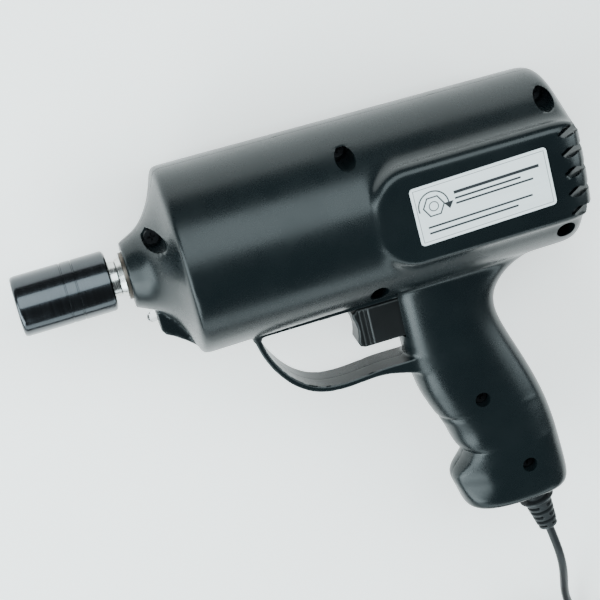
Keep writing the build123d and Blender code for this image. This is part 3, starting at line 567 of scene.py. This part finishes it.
def sampled(field, axes, slab=12):
    """The field's values on a grid, a few layers at a time."""
    values = np.empty([len(axis) for axis in axes])
    for start in range(0, len(axes[0]), slab):
        a, b, z = np.meshgrid(axes[0][start : start + slab], axes[1], axes[2], indexing="ij")
        values[start : start + slab] = field(a, b, z)
    return values


def crossed_edges(inside, k):
    """The lower corners of the grid edges along axis k that the surface crosses."""
    lower, upper = [slice(None)] * 3, [slice(None)] * 3
    lower[k], upper[k] = slice(0, -1), slice(1, None)
    cross = inside[tuple(lower)] != inside[tuple(upper)]
    for other in range(3):
        if other != k:
            keep = np.zeros(inside.shape[other], bool)
            keep[1:-1] = True
            shape = [1, 1, 1]
            shape[other] = inside.shape[other]
            cross = cross & keep.reshape(shape)
    return np.argwhere(cross)


def crossing_points(field, p0, p1, v0, v1):
    """Where the surface crosses each edge, and its normal there."""
    for _ in range(3):
        t = np.clip(v0 / (v0 - v1), 0.02, 0.98)[:, None]
        middle = p0 + (p1 - p0) * t
        vm = field(*middle.T)
        same = (vm < 0) == (v0 < 0)
        p0, v0 = np.where(same[:, None], middle, p0), np.where(same, vm, v0)
        p1, v1 = np.where(same[:, None], p1, middle), np.where(same, v1, vm)
    point = p0 + (p1 - p0) * (v0 / (v0 - v1))[:, None]
    normal = np.stack(
        [field(*(point + s).T) - field(*(point - s).T) for s in np.eye(3) * NORMAL_STEP], axis=1
    )
    return point, normal / np.maximum(np.linalg.norm(normal, axis=1), 1e-9)[:, None]


def cells_around(corner, k):
    """The four grid cells that share each edge along axis k, in turning order."""
    i, j = [o for o in range(3) if o != k]
    around = []
    for di, dj in ((-1, -1), (0, -1), (0, 0), (-1, 0)):
        c = corner.copy()
        c[:, i] += di
        c[:, j] += dj
        around.append(c)
    return around


def cell_points(edges, total, cell):
    """One point for each cell, the nearest to all the planes that cross its edges."""
    mass, hits = np.zeros((total, 3)), np.zeros(total)
    for point, _, around, _ in edges:
        for which in around:
            hits += np.bincount(which, minlength=total)
            for k in range(3):
                mass[:, k] += np.bincount(which, point[:, k], total)
    mass /= hits[:, None]
    square, right = np.zeros((total, 3, 3)), np.zeros((total, 3))
    for point, normal, around, _ in edges:
        for which in around:
            push = np.einsum("ij,ij->i", normal, point - mass[which])
            for i in range(3):
                right[:, i] += np.bincount(which, normal[:, i] * push, total)
                for j in range(3):
                    square[:, i, j] += np.bincount(which, normal[:, i] * normal[:, j], total)
    square += np.eye(3) * PULL_TO_MIDDLE * hits[:, None, None]
    step = np.linalg.solve(square, right[:, :, None])[:, :, 0]
    return mass + np.clip(step, -0.9 * cell, 0.9 * cell)


def contour(field, low, high, cell):
    """Mesh of a field's zero surface by dual contouring, which keeps its sharp edges.
    Returns points in the field's own units and quads."""
    low = np.array(low, float)
    count = np.ceil((np.array(high) - low) / cell).astype(int) + 1
    values = sampled(field, [low[k] + cell * np.arange(count[k]) for k in range(3)])
    inside = values < 0
    edges = []
    for k in range(3):
        corner = crossed_edges(inside, k)
        far = corner.copy()
        far[:, k] += 1
        v0, v1 = values[tuple(corner.T)], values[tuple(far.T)]
        point, normal = crossing_points(field, low + corner * cell, low + far * cell, v0, v1)
        around = [np.ravel_multi_index(c.T, count) for c in cells_around(corner, k)]
        edges.append((point, normal, around, inside[tuple(corner.T)] != (k == 1)))
    cells = np.unique(np.concatenate([c for edge in edges for c in edge[2]]))
    edges = [(p, n, [np.searchsorted(cells, c) for c in around], flip) for p, n, around, flip in edges]
    faces = []
    for _, _, around, flip in edges:
        quad = np.stack(around, axis=1)
        faces.append(np.where(flip[:, None], quad, quad[:, ::-1]))
    return cell_points(edges, len(cells), cell), np.concatenate(faces)


# ---------------------------------------------------------------- housing shape

BARREL_FRONT_R, BARREL_TAPER, TAPER_FROM = 48.6, 0.0136, 28.8
DOME_R, REAR_END = 100.0, 236.4
NOSE_FACE = 1.0
NOSE = Curve(
    (1, 16.6), (5, 18.5), (10, 21), (15, 25.4), (19.5, 31.6), (22.6, 37.6), (25.2, 44.5), (27, 50), (29, 57),
)
# The side panel's front and rear stations, and its low and high heights
PANEL = (121.0, 231.0, -22.4, 29.5)
PANEL_FACE, PANEL_CORNER, PANEL_EDGE = 48.6, 19.0, 5.5
# The grip's front and rear outlines and its half thickness, each by height
GRIP_FRONT = Curve(
    (-196, 156), (-187, 150.5), (-181, 144.8), (-175, 142.2), (-167, 140.2), (-162, 139.3), (-158.6, 140.4),
    (-153.5, 145), (-148.5, 147.9), (-144, 145.8), (-135.7, 142.9), (-128.7, 140.7), (-122, 137.8),
    (-114.6, 134.9), (-106.5, 132.4), (-100, 131.2), (-92, 129.8), (-80, 128.8), (-60, 128.4), (-30, 128.2),
)
GRIP_REAR = Curve(
    (-196, 192), (-186.4, 199), (-179, 201.4), (-168, 201.7), (-155.6, 200.9), (-143.6, 199.8),
    (-131.7, 198), (-119.9, 195.2), (-107, 191.2), (-94, 186.6), (-81.7, 182.5), (-71.5, 180.6),
    (-63, 181.9), (-56, 186.6), (-50.3, 194), (-45, 204), (-38, 214), (-12, 222),
)
GRIP_THICK = Curve((-190, 16.2), (-165, 17.2), (-130, 17), (-90, 16.6), (-60, 17), (-30, 18))
GRIP_LOW, GRIP_HIGH = -182.7, -12.0
GRIP_POWER = 2.6
NOTCHES, NOTCH_DEPTH, NOTCH_HALF = (-124.6, -147.8), 1.3, 3.2
# Top, foot, reach from the front, extra reach at mid height and tilt of each finger flat
FINGER_PADS = [
    (-100.5, -124.6, 9.0, 2.5, 33), (-124.6, -147.8, 7.8, 4.5, 33), (-147.8, -181.0, 8.0, 11.0, 27),
]
PAD_STEP = 0.9
RUN_OUT, RUN_OUT_FROM = 7.0, 0.75
GUARD_MIDDLE = [
    (53.4, -40), (54.8, -48.5), (56.4, -56.4), (59.4, -64.6), (64.6, -73.4), (71.6, -80.8), (80, -85.6),
    (90, -87.5), (103, -87.2), (114, -86.6), (124, -87.6), (136, -89.5),
]
GUARD_HALF, GUARD_THICK, GUARD_SWELL, GUARD_EDGE = 11.0, 3.0, 2.2, 0.9
SWELL_FROM, SWELL_LENGTH = 104.0, 26.0
GUARD_PATH = smooth_path(GUARD_MIDDLE)
LAND_MIDDLE, LAND_HALF = (92.0, -44.0), (38.0, 4.9)
GUSSET = [
    (9.7, -16), (9.9, -31.5), (11.5, -34), (15.6, -36.4), (20.6, -40.2), (26, -45), (34, -44), (34, -16),
]
GUSSET_HALF, GUSSET_EDGE = 7.0, 1.2
BARREL_SCREWS = [(17.0, 19.5), (116.0, 36.2), (219.7, 36.4), (216.7, -30.0), (118.0, -36.2)]
GRIP_SCREWS = [(161.2, -115.8), (179.0, -160.5)]
BARREL_BORE, GRIP_BORE = 4.9, 4.0
SCREW_BORES = [(*p, BARREL_BORE) for p in BARREL_SCREWS] + [(*p, GRIP_BORE) for p in GRIP_SCREWS]
SCREW_FLOOR = 8.0
COLUMN_WALL = 1.6
VENT_HEIGHTS = [3.2 + 10.3 * (i - 2) for i in range(5)]
# Each vent is a scoop across the panel's rear corner, from one station and depth to another
VENT_RUN = [(219.5, 50.5), (241.0, 27.0)]
VENT_R, VENT_SLIT, SLIT_DEPTH = 2.6, 0.8, 7.0
# The housing is thicker behind the vents: from a station and from a depth, each over a short way
WALL, VENT_WALL = 2.8, 6.0
VENT_WALL_FROM, VENT_WALL_DEPTH, VENT_WALL_RISE = 205.0, 12.0, 8.0
# Openings: each as its middle, half size or radius, and how far it runs
TRIGGER_HEIGHT, TRIGGER_HALF, TRIGGER_DEPTH, TRIGGER_RUN = -61.2, 11.3, 8.4, (120.0, 141.0)
SELECTOR_PLACE, SELECTOR_HALF, SELECTOR_DEPTH = (91.25, -46.0), (3.75, 5.0), 9.8
BUSH_R, BUSH_REACH = 12.2, 26.0
LAMP_HEIGHT, LAMP_R, LAMP_RUN = -24.9, 2.7, (3.0, 17.0)
BOOT_STATION, BOOT_R, BOOT_HEIGHT = 182.3, 6.6, -180.0
SEAM_GAP = 0.1
# Stands for any distance that is too large to matter
FAR = 30.0


def barrel_field(a, b, z):
    """The barrel: a flared nose, a slightly tapered body and a domed rear end."""
    r = np.hypot(b, z)
    flare, slope = NOSE(a)
    nose = (r - flare) / np.sqrt(1 + slope * slope)
    body = r - BARREL_FRONT_R + BARREL_TAPER * (a - TAPER_FROM)
    dome = np.hypot(np.maximum(a - REAR_END + DOME_R, 0), r) - DOME_R
    shape = join_max(nose, body, blend=5.0)
    shape = join_max(shape, dome, blend=9.0)
    return join_max(shape, NOSE_FACE - a, blend=1.6)


def panel_field(a, b, z):
    """The flat side panels, one slab through the barrel with rounded front corners."""
    left, right, low, high = PANEL
    middle, half = (low + high) / 2, (high - low) / 2
    u, v = left + PANEL_CORNER - a, np.abs(b - middle) - half + PANEL_CORNER
    outline = np.hypot(np.maximum(u, 0), np.maximum(v, 0)) + np.minimum(np.maximum(u, v), 0) - PANEL_CORNER
    outline = np.where(u < 0, np.maximum(v - PANEL_CORNER, u - PANEL_CORNER), outline)
    slab = rounded_slab(outline, z, PANEL_FACE, PANEL_EDGE)
    return join_max(slab, a - right, blend=22.0)


def grip_field(a, b, z):
    """The grip: a rounded oblong section at each height, between its front and rear outlines."""
    front, front_slope = GRIP_FRONT(b)
    rear, rear_slope = GRIP_REAR(b)
    thick, _ = GRIP_THICK(b)
    for notch in NOTCHES:
        front = front + NOTCH_DEPTH * np.maximum(0, 1 - np.abs(b - notch) / NOTCH_HALF) ** 2
    half, middle = (rear - front) / 2, (rear + front) / 2
    u = (a - middle) / half
    slope = -((rear_slope + front_slope) / 2 + u * (rear_slope - front_slope) / 2) / half
    pu, pv = np.abs(u) ** GRIP_POWER, np.abs(z / thick) ** GRIP_POWER
    f = (pu + pv) ** (1 / GRIP_POWER)
    scale = np.maximum(f, 1e-6) ** (1 - GRIP_POWER)
    du = np.abs(u) ** (GRIP_POWER - 1) * scale
    dv = np.abs(z / thick) ** (GRIP_POWER - 1) * scale / thick
    steep = np.sqrt(du * du * (1 / half**2 + slope * slope) + dv * dv)
    side = (f - 1) / np.maximum(steep, 1e-3)
    side = join_max(side, finger_facets(a, b, z, front, thick), blend=2.2)
    side = join_max(side, b - GRIP_HIGH, blend=4.0)
    return join_max(side, GRIP_LOW - b, blend=8.0)


def finger_facets(a, b, z, front, thick):
    """The three flats for the fingers, which cut the front edges of the grip's sides. Each
    starts with a small step below the one above it, and the lowest one runs out at its foot."""
    facets = np.full(a.shape, -FAR)
    for number, (high, low, reach, bulge, tilt) in enumerate(FINGER_PADS):
        t = np.clip((high - b) / (high - low), 0, 1)
        edge = front + reach + bulge * np.sin(math.pi * t)
        cos, sin = math.cos(math.radians(tilt)), math.sin(math.radians(tilt))
        facet = (edge - a) * sin + (np.abs(z) - thick + PAD_STEP * (1 - t) ** 3) * cos
        if number == len(FINGER_PADS) - 1:
            facet = facet - RUN_OUT * np.clip((t - RUN_OUT_FROM) / (1 - RUN_OUT_FROM), 0, 1) ** 2
        facets = np.where((b <= high) & (b > low), facet, facets)
    return facets


def guard_field(a, b, z):
    """The trigger guard, a band that swells towards the grip. It is worked out only near it."""
    near = (a > 44) & (a < 142) & (b > -97) & (b < -30) & (np.abs(z) < 20)
    out = np.full(a.shape, FAR)
    swell = np.clip((a[near] - SWELL_FROM) / SWELL_LENGTH, 0, 1) ** 2
    flat = path_distance(a[near], b[near], GUARD_PATH) - GUARD_THICK / 2 - GUARD_SWELL * swell
    out[near] = rounded_slab(flat, z[near], GUARD_HALF, GUARD_EDGE)
    return out


def polygon_distance(a, b, corners):
    """Signed distance to a closed outline in the side view."""
    best, sign = np.full(a.shape, 1e9), np.ones(a.shape)
    for (x0, y0), (x1, y1) in zip(corners, corners[1:] + corners[:1]):
        dx, dy = x1 - x0, y1 - y0
        t = np.clip(((a - x0) * dx + (b - y0) * dy) / (dx * dx + dy * dy), 0, 1)
        best = np.minimum(best, (a - x0 - t * dx) ** 2 + (b - y0 - t * dy) ** 2)
        turn = (a - x0) * dy - (b - y0) * dx
        up, down = (b >= y0) & (b < y1) & (turn < 0), (b < y0) & (b >= y1) & (turn > 0)
        sign = np.where(up | down, -sign, sign)
    return sign * np.sqrt(best)


def gusset_field(a, b, z):
    """The rib under the nose that holds the lamp. It is worked out only near it."""
    near = (a < 44) & (b < -4) & (np.abs(z) < 20)
    out = np.full(a.shape, FAR)
    flat = polygon_distance(a[near], b[near], GUSSET)
    out[near] = rounded_slab(flat, z[near], GUSSET_HALF, GUSSET_EDGE)
    return out


def guard_land(a, b, z):
    """The flat strip that carries the guard's outline on along the barrel's underside."""
    along, upward = np.abs(a - LAND_MIDDLE[0]) - LAND_HALF[0], np.abs(b - LAND_MIDDLE[1]) - LAND_HALF[1]
    return rounded_slab(np.maximum(along, upward), z, GUARD_HALF, GUARD_EDGE)


def outside_field(a, b, z):
    """The housing's whole outside."""
    shape = join_min(barrel_field(a, b, z), panel_field(a, b, z), blend=8.0)
    shape = join_max(shape, np.abs(z) - PANEL_FACE, blend=1.0)
    shape = join_min(shape, grip_field(a, b, z), blend=6.0)
    shape = join_min(shape, guard_land(a, b, z), blend=1.0)
    shape = join_min(shape, guard_field(a, b, z), blend=5.0)
    return join_min(shape, gusset_field(a, b, z), blend=1.5)


def screws_field(a, b, z):
    """The deep bores that the housing screws sit in."""
    holes = [np.hypot(a - station, b - height) - bore for station, height, bore in SCREW_BORES]
    return np.maximum(np.minimum.reduce(holes), SCREW_FLOOR - z)


def vents_field(a, b, z):
    """The cooling vents: half-round scoops, each with a slit along its middle."""
    (first_a, first_z), (last_a, last_z) = VENT_RUN
    length = math.hypot(last_a - first_a, last_z - first_z)
    run_a, run_z = (last_a - first_a) / length, (last_z - first_z) / length
    along = (a - first_a) * run_a + (z - first_z) * run_z
    out = (a - first_a) * run_z - (z - first_z) * run_a
    cut = np.full(a.shape, FAR)
    for height in VENT_HEIGHTS:
        scoop = np.hypot(out, b - height) - VENT_R
        slit = np.maximum(np.abs(b - height) - VENT_SLIT, np.abs(out) - SLIT_DEPTH)
        cut = np.minimum(cut, np.minimum(scoop, slit))
    return np.maximum(cut, np.maximum(-along, along - length))


def openings_field(a, b, z, left):
    """Everything cut out of the housing, as one distance."""
    trigger = np.maximum(np.abs(b - TRIGGER_HEIGHT) - TRIGGER_HALF, z - TRIGGER_DEPTH)
    trigger = np.maximum(trigger, np.maximum(TRIGGER_RUN[0] - a, a - TRIGGER_RUN[1]))
    selector = np.maximum(np.abs(a - SELECTOR_PLACE[0]) - SELECTOR_HALF[0], z - SELECTOR_DEPTH)
    selector = np.maximum(selector, np.abs(b - SELECTOR_PLACE[1]) - SELECTOR_HALF[1])
    bush = np.maximum(np.hypot(b, z) - BUSH_R, a - BUSH_REACH)
    lamp = np.maximum(a - LAMP_RUN[1], LAMP_RUN[0] - a)
    lamp = np.maximum(np.hypot(b - LAMP_HEIGHT, z) - LAMP_R, lamp)
    boot = np.maximum(np.hypot(a - BOOT_STATION, z) - BOOT_R, b - BOOT_HEIGHT)
    holes = [vents_field(a, b, z), trigger, selector, bush, lamp, boot]
    if left:
        holes.append(screws_field(a, b, z))
    return np.minimum.reduce(holes)


def shell_field(left):
    """One half of the housing as a wall, with a column round each screw's bore in the left one."""

    def field(a, b, z):
        outer = outside_field(a, b, z)
        backing = np.clip((a - VENT_WALL_FROM) / VENT_WALL_RISE, 0, 1)
        backing = backing * np.clip((z - VENT_WALL_DEPTH) / VENT_WALL_RISE, 0, 1)
        wall = np.maximum(outer, -outer - WALL - (VENT_WALL - WALL) * backing)
        if left:
            for station, height, bore in SCREW_BORES:
                column = np.hypot(a - station, b - height) - bore - COLUMN_WALL
                column = np.maximum(np.maximum(outer, column), SCREW_FLOOR - 2 - z)
                wall = np.minimum(wall, column)
        shape = np.maximum(wall, SEAM_GAP - z)
        return np.maximum(shape, -openings_field(a, b, z, left))

    return field


HOUSING_LOW, HOUSING_HIGH, HOUSING_CELL = (-1.3, -191.0, -1.25), (244.0, 52.0, 52.0), 1.1


def field_mesh(name, points, quads):
    return mesh_from(name, [tuple(at(*p)) for p in points.tolist()], quads.tolist())


def housing_half(name, left):
    points, quads = contour(shell_field(left), HOUSING_LOW, HOUSING_HIGH, HOUSING_CELL)
    if not left:
        points = points * (1, 1, -1)
        quads = quads[:, ::-1]
    obj = new_object(name, field_mesh(name, points, quads), SMOOTH_FIELD_ANGLE)
    return finish_piece(obj, "tool", "housing_plastic", "housing_left" if left else "housing_right")


housing_half("left_shell", True)
housing_half("right_shell", False)


# ---------------------------------------------------------------- socket, trigger, label, strain relief


def flats(across, sides, turn=0.0):
    """The radius of a regular polygon as a function of the angle, from its size across flats."""
    step = 2 * math.pi / sides
    return lambda angle: across / 2 / math.cos((angle + turn) % step - step / 2)


def make_socket():
    """A six-point impact socket: its hexagon at the front and its drive square at the rear."""
    outer, groove = 15.5, 15.15
    hexagon, square = flats(21.0, 6), flats(13.0, 4, math.pi / 4)
    rings = [(-7.4, lambda t: max(square(t), 8.0)), (-7.4, 13.6), (-7.7, 14.4), (-8.4, 15.2), (-9.4, outer)]
    for middle in (-24.4, -30.2):
        for off, radius in ((0.45, outer), (0.25, groove), (-0.25, groove), (-0.45, outer)):
            rings.append((middle + off, radius))
    rings += [(-53.2, outer), (-54.4, 15.3), (-55.1, 14.9), (-55.5, 14.2), (-55.5, 13.2), (-55.1, 12.75)]
    rings += [(-53.9, lambda t: max(hexagon(t), 11.2)), (-53.4, hexagon), (-28.6, hexagon), (-28.5, 10.2)]
    rings += [(-28.1, square), (-8.0, square)]
    socket = ring_stack("socket_body", rings, (0, 0, 0), (1, 0, 0))
    return finish_piece(socket, "socket", "black_oxide", "impact_socket")


TRIGGER_OUTLINE = [
    (108.4, -50.5), (105.6, -52.4), (105.3, -54.6), (106.3, -58), (106.8, -61.6), (106.3, -65.4),
    (105.5, -68.6), (106.2, -70.8), (108.8, -71.9), (133.9, -71.9), (133.9, -50.5),
]
KEY_HALF, KEY_EDGE = 7.9, 1.5
RIB_STATIONS, RIB_GROOVE, RIB_DEPTH = (108.6, 111.0, 113.4), 0.75, 8.1
STEM_MIDDLE, STEM_R, STEM_HALF = (136.9, -61.0), 2.3, 3.0
KEY_LOW, KEY_HIGH, KEY_CELL = (103.6, -73.2, -9.2), (141.4, -49.2, 9.2), 0.5


def trigger_field(a, b, z):
    """The key with three grooves down each side, and the stem that its spring sits on."""
    shape = rounded_slab(polygon_distance(a, b, TRIGGER_OUTLINE), z, KEY_HALF, KEY_EDGE)
    for station in RIB_STATIONS:
        shape = join_max(shape, RIB_GROOVE - np.hypot(a - station, np.abs(z) - RIB_DEPTH), blend=0.4)
    stem = np.maximum(np.hypot(b - STEM_MIDDLE[1], z) - STEM_R, np.abs(a - STEM_MIDDLE[0]) - STEM_HALF)
    return np.minimum(shape, stem)


def make_trigger():
    points, quads = contour(trigger_field, KEY_LOW, KEY_HIGH, KEY_CELL)
    key = new_object("trigger_key", field_mesh("trigger_key", points, quads), SMOOTH_FIELD_ANGLE)
    return finish_piece(key, "trigger", "trigger_plastic", "trigger")


CORNER_STEPS = 8
SMOOTH_LABEL_ANGLE = 30


def label_rim():
    """The label's outline about its own middle, with rounded corners."""
    half_x, half_y = LABEL_SIZE[0] / 2 - LABEL_CORNER, LABEL_SIZE[1] / 2 - LABEL_CORNER
    rim = []
    for k, (sx, sy) in enumerate(((1, 1), (-1, 1), (-1, -1), (1, -1))):
        for i in range(CORNER_STEPS + 1):
            angle = math.pi / 2 * (k + i / CORNER_STEPS)
            x, y = LABEL_CORNER * math.cos(angle), LABEL_CORNER * math.sin(angle)
            rim.append((sx * half_x + x, sy * half_y + y))
    return rim


def make_label():
    rim = label_rim()
    cos, sin = math.cos(LABEL_TURN), math.sin(LABEL_TURN)
    points = []
    for depth, inset in ((0, 0), (LABEL_THICK * 0.6, 0), (LABEL_THICK, 0.003)):
        for x, y in rim:
            x, y = x * (1 - inset), y * (1 - inset)
            station, height = LABEL_MIDDLE[0] + x * cos - y * sin, LABEL_MIDDLE[1] + x * sin + y * cos
            points.append(at(station, height, PANEL_FACE + depth))
    n = len(rim)
    faces = [tuple(range(n))[::-1], tuple(range(2 * n, 3 * n))]
    for k in range(2):
        this, after = k * n, (k + 1) * n
        for i in range(n):
            j = (i + 1) % n
            faces.append((this + i, this + j, after + j, after + i))
    mesh = recalculated(mesh_from("label_plate", points, faces))
    label = new_object("label_plate", mesh, SMOOTH_LABEL_ANGLE)
    return finish_piece(label, "tool", "label_film", "rating_label")


BOOT_TOP, BOOT_END = (181.9, -183.6, 0.0), (186.5, -208.5, 0.0)
BOOT_CONE_FROM, BOOT_CONE_LENGTH = 7.4, 17.9
BOOT_TOP_R, BOOT_TAPER = 7.6, 2.2
BOOT_SLOTS, BOOT_SLOT_PITCH, BOOT_SLOT_FROM = 5, 3.3, 9.2
BOOT_SLOT_WIDTH, BOOT_SLOT_DEPTH, BOOT_BRIDGE = 1.6, 2.7, 0.26


def boot_radius(place):
    """The tapered strain relief's radius, with slots that leave two bridges each, turned by
    a quarter from one slot to the next."""
    cone = BOOT_TOP_R - BOOT_TAPER * (place - BOOT_CONE_FROM) / BOOT_CONE_LENGTH
    number, part = divmod(place - BOOT_SLOT_FROM, BOOT_SLOT_PITCH)
    half = BOOT_SLOT_WIDTH / 2
    slot = max(0.0, 1 - abs(part - half) / half) if 0 <= number < BOOT_SLOTS else 0.0
    depth = BOOT_SLOT_DEPTH * min(1.0, 2.2 * slot) * cone / BOOT_TOP_R

    def radius(angle):
        bridge = abs(math.sin(angle + math.pi / 2 * (number % 2)))
        return cone - depth * min(1.0, max(0.0, (bridge - BOOT_BRIDGE) * 8))

    return radius


def make_strain_relief():
    along = Vector(BOOT_END) - Vector(BOOT_TOP)
    bore = CORD_D / 2 + 0.05
    rings = [(-4.2, bore), (-4.2, 8.8), (-1.8, 8.8), (-1.8, 6.0), (5.2, 6.0), (5.2, 9.1), (5.5, 9.5)]
    rings += [(6.1, 9.6), (6.6, 9.2), (6.7, 8.2), (BOOT_CONE_FROM, BOOT_TOP_R)]
    step = 0.33
    count = int((along.length - 0.8 - BOOT_CONE_FROM) / step)
    places = [BOOT_CONE_FROM + step * i for i in range(1, count)]
    rings += [(place, boot_radius(place)) for place in places]
    for back, radius in ((0.5, 5.35), (0.1, 5.0), (0, 4.4), (0, bore)):
        rings.append((along.length - back, radius))
    boot = ring_stack("cord_boot", rings, BOOT_TOP, along, 72)
    return finish_piece(boot, "tool", "boot_rubber", "strain_relief")


make_socket()
make_trigger()
make_label()
make_strain_relief()


# ---------------------------------------------------------------- floor and light


LIGHT_COLOR, ROOM_COLOR, ROOM_STRENGTH = (0.8, 0.96, 1), (0.85, 0.95, 1, 1), 0.16
FLOOR_HALF, FLOOR_COLOR = 3, (0.97, 0.93, 0.9)
FLOOR_GLOW, FLOOR_GLOW_STRENGTH = (1, 0.98, 0.96, 1), 0.5
# Name, place, target, size in metres and power of each soft box
SOFT_BOXES = [
    ("over_box", (90, 640, 1050), (90, 60, 0), (1.8, 0.95), 30),
    ("front_box", (-1050, -60, 640), (60, -20, 0), (0.9, 0.9), 22),
    ("rear_box", (1250, 60, 700), (120, -20, 0), (0.9, 0.9), 16),
    ("side_box", (-560, -560, 560), (150, -130, 0), (0.6, 0.5), 9),
    ("low_box", (120, -1000, 330), (110, -40, 0), (1.4, 0.35), 5),
]


def soft_light(name, place, target, size, power):
    data = bpy.data.lights.new(name, "AREA")
    data.shape = "RECTANGLE"
    data.size, data.size_y = size
    data.energy = power
    data.color = LIGHT_COLOR
    light = bpy.data.objects.new(name, data)
    bpy.context.scene.collection.objects.link(light)
    away = (at(*place) - at(*target)).normalized()
    light.matrix_world = Matrix.Translation(at(*place)) @ away.to_track_quat("Z", "Y").to_matrix().to_4x4()


def make_floor():
    h = FLOOR_HALF
    mesh = mesh_from("floor", [(-h, -h, 0), (h, -h, 0), (h, h, 0), (-h, h, 0)], [(0, 1, 2, 3)])
    floor = new_object("floor", mesh)
    m = Nodes("floor")
    m.base(FLOOR_COLOR)
    m.rough(0.6)
    m.shader.inputs["Emission Color"].default_value = FLOOR_GLOW
    m.shader.inputs["Emission Strength"].default_value = FLOOR_GLOW_STRENGTH
    floor.data.materials.append(m.material)


def make_stage():
    make_floor()
    world = bpy.data.worlds.new("room")
    bpy.context.scene.world = world
    world.use_nodes = True
    background = world.node_tree.nodes["Background"]
    background.inputs["Color"].default_value = ROOM_COLOR
    background.inputs["Strength"].default_value = ROOM_STRENGTH
    for box in SOFT_BOXES:
        soft_light(*box)


make_stage()
